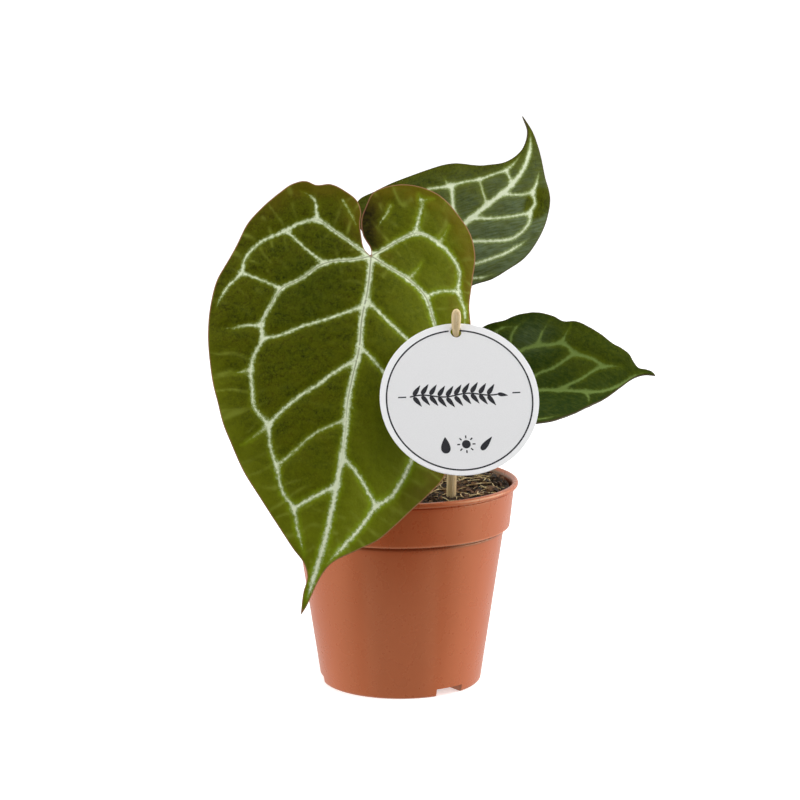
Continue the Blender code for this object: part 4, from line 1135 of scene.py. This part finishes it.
def broken_piece(rng, centre, size):
    """The corners and faces of one irregular chip: the hull of a squashed, turned cloud of points."""
    stretch = (rng.uniform(0.7, 1.5), rng.uniform(0.4, 0.9), rng.uniform(0.25, 0.6))
    turn = Matrix.Rotation(rng.uniform(0, 6.3), 3, "Z") @ Matrix.Rotation(rng.gauss(0, 0.45), 3, "X")
    turn = turn @ Matrix.Rotation(rng.gauss(0, 0.45), 3, "Y")
    bm = bmesh.new()
    for _ in range(11):
        p = Vector((rng.gauss(0, 1), rng.gauss(0, 1), rng.gauss(0, 1))).normalized() * 0.5 * size
        bm.verts.new(turn @ Vector((p.x * stretch[0], p.y * stretch[1], p.z * stretch[2])))
    made = bmesh.ops.convex_hull(bm, input=bm.verts)
    spare = {g for g in made["geom_interior"] + made["geom_unused"] if isinstance(g, bmesh.types.BMVert)}
    bmesh.ops.delete(bm, geom=list(spare), context="VERTS")
    bm.verts.index_update()
    points = [tuple(centre + v.co) for v in bm.verts]
    faces = [[v.index for v in f.verts] for f in bm.faces]
    bm.free()
    return points, faces


def make_chips(name, seed, count, sizes, lift):
    """Irregular broken pieces lying half sunk in the mix."""
    rng = random.Random(seed)
    points, faces = [], []
    for _ in range(count):
        size = rng.uniform(*sizes) * (1.0 if rng.random() < 0.8 else 1.5)
        x, y = scatter_spot(rng, 0.7 * size)
        centre = Vector((x, y, soil_height(x, y) + lift * size))
        corners, sides = broken_piece(rng, centre, size)
        first = len(points)
        points += corners
        faces += [[first + i for i in side] for side in sides]
    return mesh_object(name, points, faces)


def make_fibres(name, seed, count, lengths, radii):
    """Thin curved strands lying across the mix."""
    rng = random.Random(seed)
    points, faces = [], []
    sides = 5
    for _ in range(count):
        length = rng.uniform(*lengths)
        x, y = scatter_spot(rng, 1.5)
        heading = rng.uniform(0, 2 * math.pi)
        bend = rng.gauss(0, 0.7)
        rise = rng.uniform(0.1, 0.9)
        radius = rng.uniform(*radii)
        path = []
        steps = max(5, int(length / 1.2))
        for i in range(steps + 1):
            if not is_clear(x, y, 1.0, 1.5, 3.6):
                break
            path.append((x, y, soil_height(x, y)))
            x += math.cos(heading) * length / steps
            y += math.sin(heading) * length / steps
            heading += bend / steps + rng.gauss(0, 0.05)
        if len(path) < 4:
            continue
        p = np.array(path)
        t = np.linspace(0, 1, len(p))
        p[:, 2] = p[0, 2] + t * (p[-1, 2] - p[0, 2]) + 0.4 + rise * np.sin(np.pi * t)
        tangents = np.gradient(p, axis=0)
        first = len(points)
        for i, (centre, tangent) in enumerate(zip(p, tangents)):
            tangent = unit(tangent)
            side = unit(np.cross(tangent, (0, 0, 1.0)))
            up = np.cross(side, tangent)
            r = radius * (1 - 0.55 * abs(2 * i / (len(p) - 1) - 1) ** 3)
            for j in range(sides):
                a = 2 * math.pi * j / sides
                points.append(tuple(centre + r * (math.cos(a) * side + 0.7 * math.sin(a) * up)))
        faces += tube_faces(first, len(p), sides)
        faces.append(tuple(range(first + sides - 1, first - 1, -1)))
        faces.append(tuple(range(len(points) - sides, len(points))))
    ob = mesh_object(name, points, faces)
    bm = bmesh.new()
    bm.from_mesh(ob.data)
    bmesh.ops.recalc_face_normals(bm, faces=bm.faces)
    bm.to_mesh(ob.data)
    bm.free()
    return settle(ob, 60.0)


def notch_box(azimuth, grow):
    half = NOTCH_WIDTH / 2 + grow
    block = box(f"notch_{azimuth:.0f}", (NOTCH_INNER_RADIUS - grow, -half, -2.0),
                (BASE_RADIUS + 15.0, half, NOTCH_HEIGHT + grow))
    block.rotation_euler.z = math.radians(azimuth)
    return block


def make_pot():
    """The nursery pot, with rounded corners and its three drainage notches."""
    bead_z = POT_HEIGHT - BEAD_HEIGHT
    pot = turned("pot_shell", rounded([
        (0, POT_HEIGHT), (RIM_RADIUS - 1.4, POT_HEIGHT), (RIM_RADIUS - 0.3, POT_HEIGHT - 0.4),
        (RIM_RADIUS, POT_HEIGHT - 1.2), (RIM_RADIUS - 0.1, bead_z + 0.3),
        (BAND_TOP_RADIUS - 0.5, bead_z - 0.1), (BAND_TOP_RADIUS - 0.5, bead_z - 0.7),
        (BAND_TOP_RADIUS, bead_z - 1.0),
        (BAND_BOTTOM_RADIUS, BAND_BOTTOM_Z + 0.3), (BAND_BOTTOM_RADIUS - 0.4, BAND_BOTTOM_Z),
        (SHOULDER_RADIUS - 0.6, BAND_BOTTOM_Z + 0.1), (SHOULDER_RADIUS - 0.7, SHOULDER_Z - 0.5),
        (SHOULDER_RADIUS - 0.2, SHOULDER_Z - 1.1), (BASE_RADIUS + 0.1, 0.9), (BASE_RADIUS - 0.7, 0), (0, 0),
    ], 0.7, 2.5), POT_STEPS)
    top = POT_HEIGHT + 2.0
    inner_base = BASE_RADIUS - WALL
    cavity = turned("pot_cavity", rounded([
        (0, top), (RIM_RADIUS - 1.6, top), (RIM_RADIUS - 1.9, POT_HEIGHT - 0.1),
        (RIM_RADIUS - 2.9, POT_HEIGHT - 1.0), (BAND_TOP_RADIUS - WALL, bead_z),
        (BAND_BOTTOM_RADIUS - WALL, BAND_BOTTOM_Z + LEDGE), (SHOULDER_RADIUS - WALL, SHOULDER_Z + LEDGE),
        (inner_base, FLOOR), (0, FLOOR),
    ], 0.5, 3.0), POT_STEPS)
    settle_cut(cavity, [notch_box(azimuth, POT_COLLAR) for azimuth in NOTCH_AZIMUTHS])
    cutters = [cavity]
    for azimuth in NOTCH_AZIMUTHS:
        cutters.append(notch_box(azimuth, 0.0))
        angle = math.radians(azimuth)
        x, y = DRAIN_CENTRE_RADIUS * math.cos(angle), DRAIN_CENTRE_RADIUS * math.sin(angle)
        cutters.append(tube(f"drain_{azimuth:.0f}", [(x, y, NOTCH_HEIGHT - 1.0), (x, y, NOTCH_HEIGHT + 4.0)],
                            [DRAIN_RADIUS] * 2, 32))
    return settle_cut(pot, cutters, 28.0)


def placing(centre, x, y, z):
    """The matrix that puts a piece's own axes along x, y and z, and its origin at a centre."""
    return Matrix.Translation(centre * MM) @ Matrix((x, y, z)).transposed().to_4x4()


def stick_matrix():
    foot, tip = Vector(STICK_FOOT), Vector(STICK_TIP)
    up = (tip - foot).normalized()
    side = (Vector((1, 0, 0)) - up * up.x).normalized()
    return placing(foot, side, up.cross(side), up)


def make_stick_body(name, grow):
    """The oval stick with its rounded tip, or its clearance hole when grown."""
    length = (Vector(STICK_TIP) - Vector(STICK_FOOT)).length + grow
    r = STICK_WIDTH / 2 + grow
    bottom = -STICK_BURIED - grow
    profile = [(0, length), (0.35 * r, length - 0.25), (0.72 * r, length - 1.1), (0.93 * r, length - 2.6),
               (r, length - 5.0), (r, bottom + 3.0), (0.8 * r, bottom), (0, bottom)]
    ob = turned(name, rounded(profile, 1.6, 1.5), 40)
    squeeze = (STICK_THICKNESS / 2 + grow) / r
    ob.matrix_world = stick_matrix() @ Matrix.Diagonal((1, squeeze, 1, 1))
    return ob


def make_stick():
    stick = settle(make_stick_body("label_stick", 0.0), 50.0)
    for vert in stick.data.vertices:
        x, y, z = vert.co / MM
        away = math.hypot(x, y)
        if away > 0.3:
            fibre = 0.05 * bumps(x * 1.8, y * 1.8, z * 0.02) - 0.05
            scale = 1 + (fibre + 0.06 * bumps(x / 3, y / 3, z / 14)) / away
            scale -= 0.38 * math.exp(-((z - CARD_PIERCED_AT + 2.0) / 5.5) ** 2)
            vert.co.x *= scale
            vert.co.y *= scale
    return stick


def card_matrix():
    """Where the card hangs: pierced by the stick near its top edge, and leaning back."""
    foot, tip = Vector(STICK_FOOT), Vector(STICK_TIP)
    pierced = foot + (tip - foot).normalized() * CARD_PIERCED_AT
    face = Vector(CARD_FACING).normalized()
    down = (Vector((0, 0, -1)) + face * face.z).normalized()
    return placing(pierced + down * CARD_HOLE_TO_CENTRE, face.cross(down), -down, face)


def make_card():
    half = CARD_THICKNESS / 2
    profile = [(0, half), (CARD_RADIUS - 0.12, half), (CARD_RADIUS, half - 0.12), (CARD_RADIUS, 0.12 - half),
               (CARD_RADIUS - 0.12, -half), (0, -half)]
    card = turned("label_card", profile, 180)
    card.matrix_world = card_matrix()
    return settle_cut(card, [make_stick_body("card_hole", GAP)], 30.0)


def flat_strokes(name, outlines):
    """Closed flat shapes of ink on the card's face, each given by its outline in the card's plane."""
    base = CARD_THICKNESS / 2 + 0.01
    bm = bmesh.new()
    for outline in outlines:
        lower = [bm.verts.new(Vector((x, y, base)) * MM) for x, y in outline]
        upper = [bm.verts.new(Vector((x, y, base + INK)) * MM) for x, y in outline]
        bm.faces.new(upper)
        bm.faces.new(lower[::-1])
        for i in range(len(outline)):
            j = (i + 1) % len(outline)
            bm.faces.new((lower[i], lower[j], upper[j], upper[i]))
    mesh = bpy.data.meshes.new(name)
    bm.to_mesh(mesh)
    bm.free()
    return new_object(name, mesh)


def turns(count):
    return [2 * math.pi * k / count for k in range(count)]


def leaf_mark(x, y, angle, length, width):
    """The outline of a small pointed leaf, for the printed sprig."""
    out = []
    for t in turns(24):
        along = length / 2 * (1 - math.cos(t))
        across = width / 2 * math.sin(t) * (0.6 + 0.4 * math.cos(t))
        out.append((x + along * math.cos(angle) - across * math.sin(angle),
                    y + along * math.sin(angle) + across * math.cos(angle)))
    return out


def ring_outline(radius, width, start, end, count):
    angles = [start + (end - start) * k / count for k in range(count + 1)]
    outer, inner = ([(r * math.cos(a), r * math.sin(a)) for a in angles]
                    for r in (radius + width / 2, radius - width / 2))
    return outer + inner[::-1]


def care_marks(y):
    """Three plant-care marks in a row: a drop, a sun and a leaf."""
    drop = [(-8.6 + 3.1 * math.sin(a) * math.sin(a / 2) ** 1.2, y + 4.2 * math.cos(a)) for a in turns(24)]
    sun = [(1.4 + 2.1 * math.cos(a), y + 2.1 * math.sin(a)) for a in turns(24)]
    marks = [drop[::-1], sun]
    for a in turns(8):
        c, s = math.cos(a), math.sin(a)
        marks.append([(1.4 + r * c - w * s, y + r * s + w * c)
                      for r, w in ((3.0, -0.32), (4.4, -0.32), (4.4, 0.32), (3.0, 0.32))])
    marks.append(leaf_mark(8.4, y - 3.2, 0.85, 8.6, 4.2))
    return marks


def make_print():
    """The card's plain print: a ring with a gap for the stick, a sprig between dashes, and care marks."""
    gap = math.radians(RING_GAP)
    top = math.pi / 2
    shapes = [ring_outline(RING_RADIUS, RING_WIDTH, top + gap, top + 2 * math.pi - gap, 260)]
    for side in (-1, 1):
        x0, x1 = sorted((side * 29.7, side * 25.8))
        shapes.append([(x0, 2.1), (x1, 2.1), (x1, 2.7), (x0, 2.7)])
    stem = [(-24 + 0.5 * k, 2.4 + 0.7 * math.sin(0.14 * k)) for k in range(88)]
    shapes.append([(x, y + 0.35) for x, y in stem][::-1] + [(x, y - 0.35) for x, y in stem])
    for k in range(10):
        x, y = stem[3 + 8 * k]
        for side in (-1, 1):
            shapes.append(leaf_mark(x + 0.3, y + side * 0.4, side * 0.95, 6.2, 3.2))
    x, y = stem[-1]
    shapes.append(leaf_mark(x - 0.8, y, -0.2, 5.0, 2.8))
    ob = flat_strokes("label_print", shapes + care_marks(MARKS_Y))
    drop = Matrix.Translation((0, -PRINT_DROP * MM, 0))
    ob.matrix_world = card_matrix() @ drop @ Matrix.Rotation(math.radians(PRINT_TURN), 4, "Z")
    return ob


# Stage

def add_camera():
    data = bpy.data.cameras.new("camera")
    data.lens = CAMERA_LENS
    data.sensor_width = 36.0
    data.clip_start = 0.05
    camera = new_object("camera", data)
    camera.location = Vector(CAMERA_AT) * MM
    camera.rotation_euler = (math.radians(90.0 + CAMERA_PITCH), 0, 0)
    camera.rotation_euler.rotate_axis("Z", math.radians(CAMERA_ROLL))
    bpy.context.scene.camera = camera


def add_softbox(name, at, aim, size, radiance):
    data = bpy.data.lights.new(name, "AREA")
    data.shape = "RECTANGLE"
    data.size, data.size_y = size
    data.energy = radiance * math.pi * size[0] * size[1]
    light = new_object(name, data)
    light.location = at
    light.rotation_euler = (Vector(aim) - Vector(at)).to_track_quat("-Z", "Y").to_euler()


def add_world():
    """A soft white room that is dim on the camera's side."""
    g = Graph(bpy.data.worlds.new("studio"))
    way = g.node("TexCoord", output="Generated")
    depth, rise = (g.node("SeparateXYZ", way, output=axis) for axis in "YZ")
    below, above = (g.node("MapRange", depth, *light) for light in (TABLE_LIGHT, ROOM_LIGHT))
    background = g.tree.nodes["Background"]
    g.put(background.inputs["Strength"], g.node("MapRange", rise, *HORIZON, below, above))
    g.put(background.inputs["Color"], (1, 1, 1, 1))
    bpy.context.scene.world = g.owner


def add_studio():
    """A pale floor, the room, and softboxes left, right and above."""
    reach = FLOOR_REACH / MM
    corners = [(-reach, -reach, 0), (reach, -reach, 0), (reach, reach, 0), (-reach, reach, 0)]
    floor = mesh_object("floor", corners, [(0, 1, 2, 3)])
    floor.visible_diffuse = False
    floor.visible_glossy = False
    floor.visible_shadow = False
    floor.data.materials.append(floor_material())
    add_world()
    for softbox in SOFTBOXES:
        add_softbox(*softbox)
    bpy.context.scene.view_settings.view_transform = "Standard"


def main():
    leaf_materials = [leaf_top_material(), leaf_under_material(), leaf_rim_material()]
    stalk_skin = stalk_material()
    for name, spec in LEAVES.items():
        shape = LeafShape(spec)
        finish_piece(make_blade(f"blade_{name}", shape, leaf_materials), [f"leaf_{name}"])
        stalk = make_stalk(f"petiole_{name}", shape, STALKS[name])
        finish_piece(stalk, [f"stalk_{name}"], [stalk_skin])
    finish_piece(make_crown(), ["crown"], [crown_material()])
    # The name alone is the frame's own plain material, and the crown's got a number after it.
    finish_piece(make_bracts(), [], [bpy.data.materials["crown_skin"]])
    peat = peat_material()
    finish_piece(make_soil_bed(), ["soil"], [peat])
    finish_piece(make_chips("soil_crumbs", 5, 2600, (0.9, 2.4), 0.05), [], [peat])
    finish_piece(make_chips("bark_pieces", 9, 420, (2.4, 5.5), 0.08), [], [bark_material()])
    straw = make_fibres("straw", 3, 300, (6.0, 20.0), (0.18, 0.42))
    finish_piece(straw, [], [straw_material()])
    finish_piece(make_pot(), ["pot"], [pot_material()])
    finish_piece(make_stick(), ["tag_stick"], [stick_material()])
    finish_piece(make_card(), ["tag_card"], [card_material()])
    finish_piece(make_print(), [], [ink_material()])
    add_camera()
    add_studio()


main()
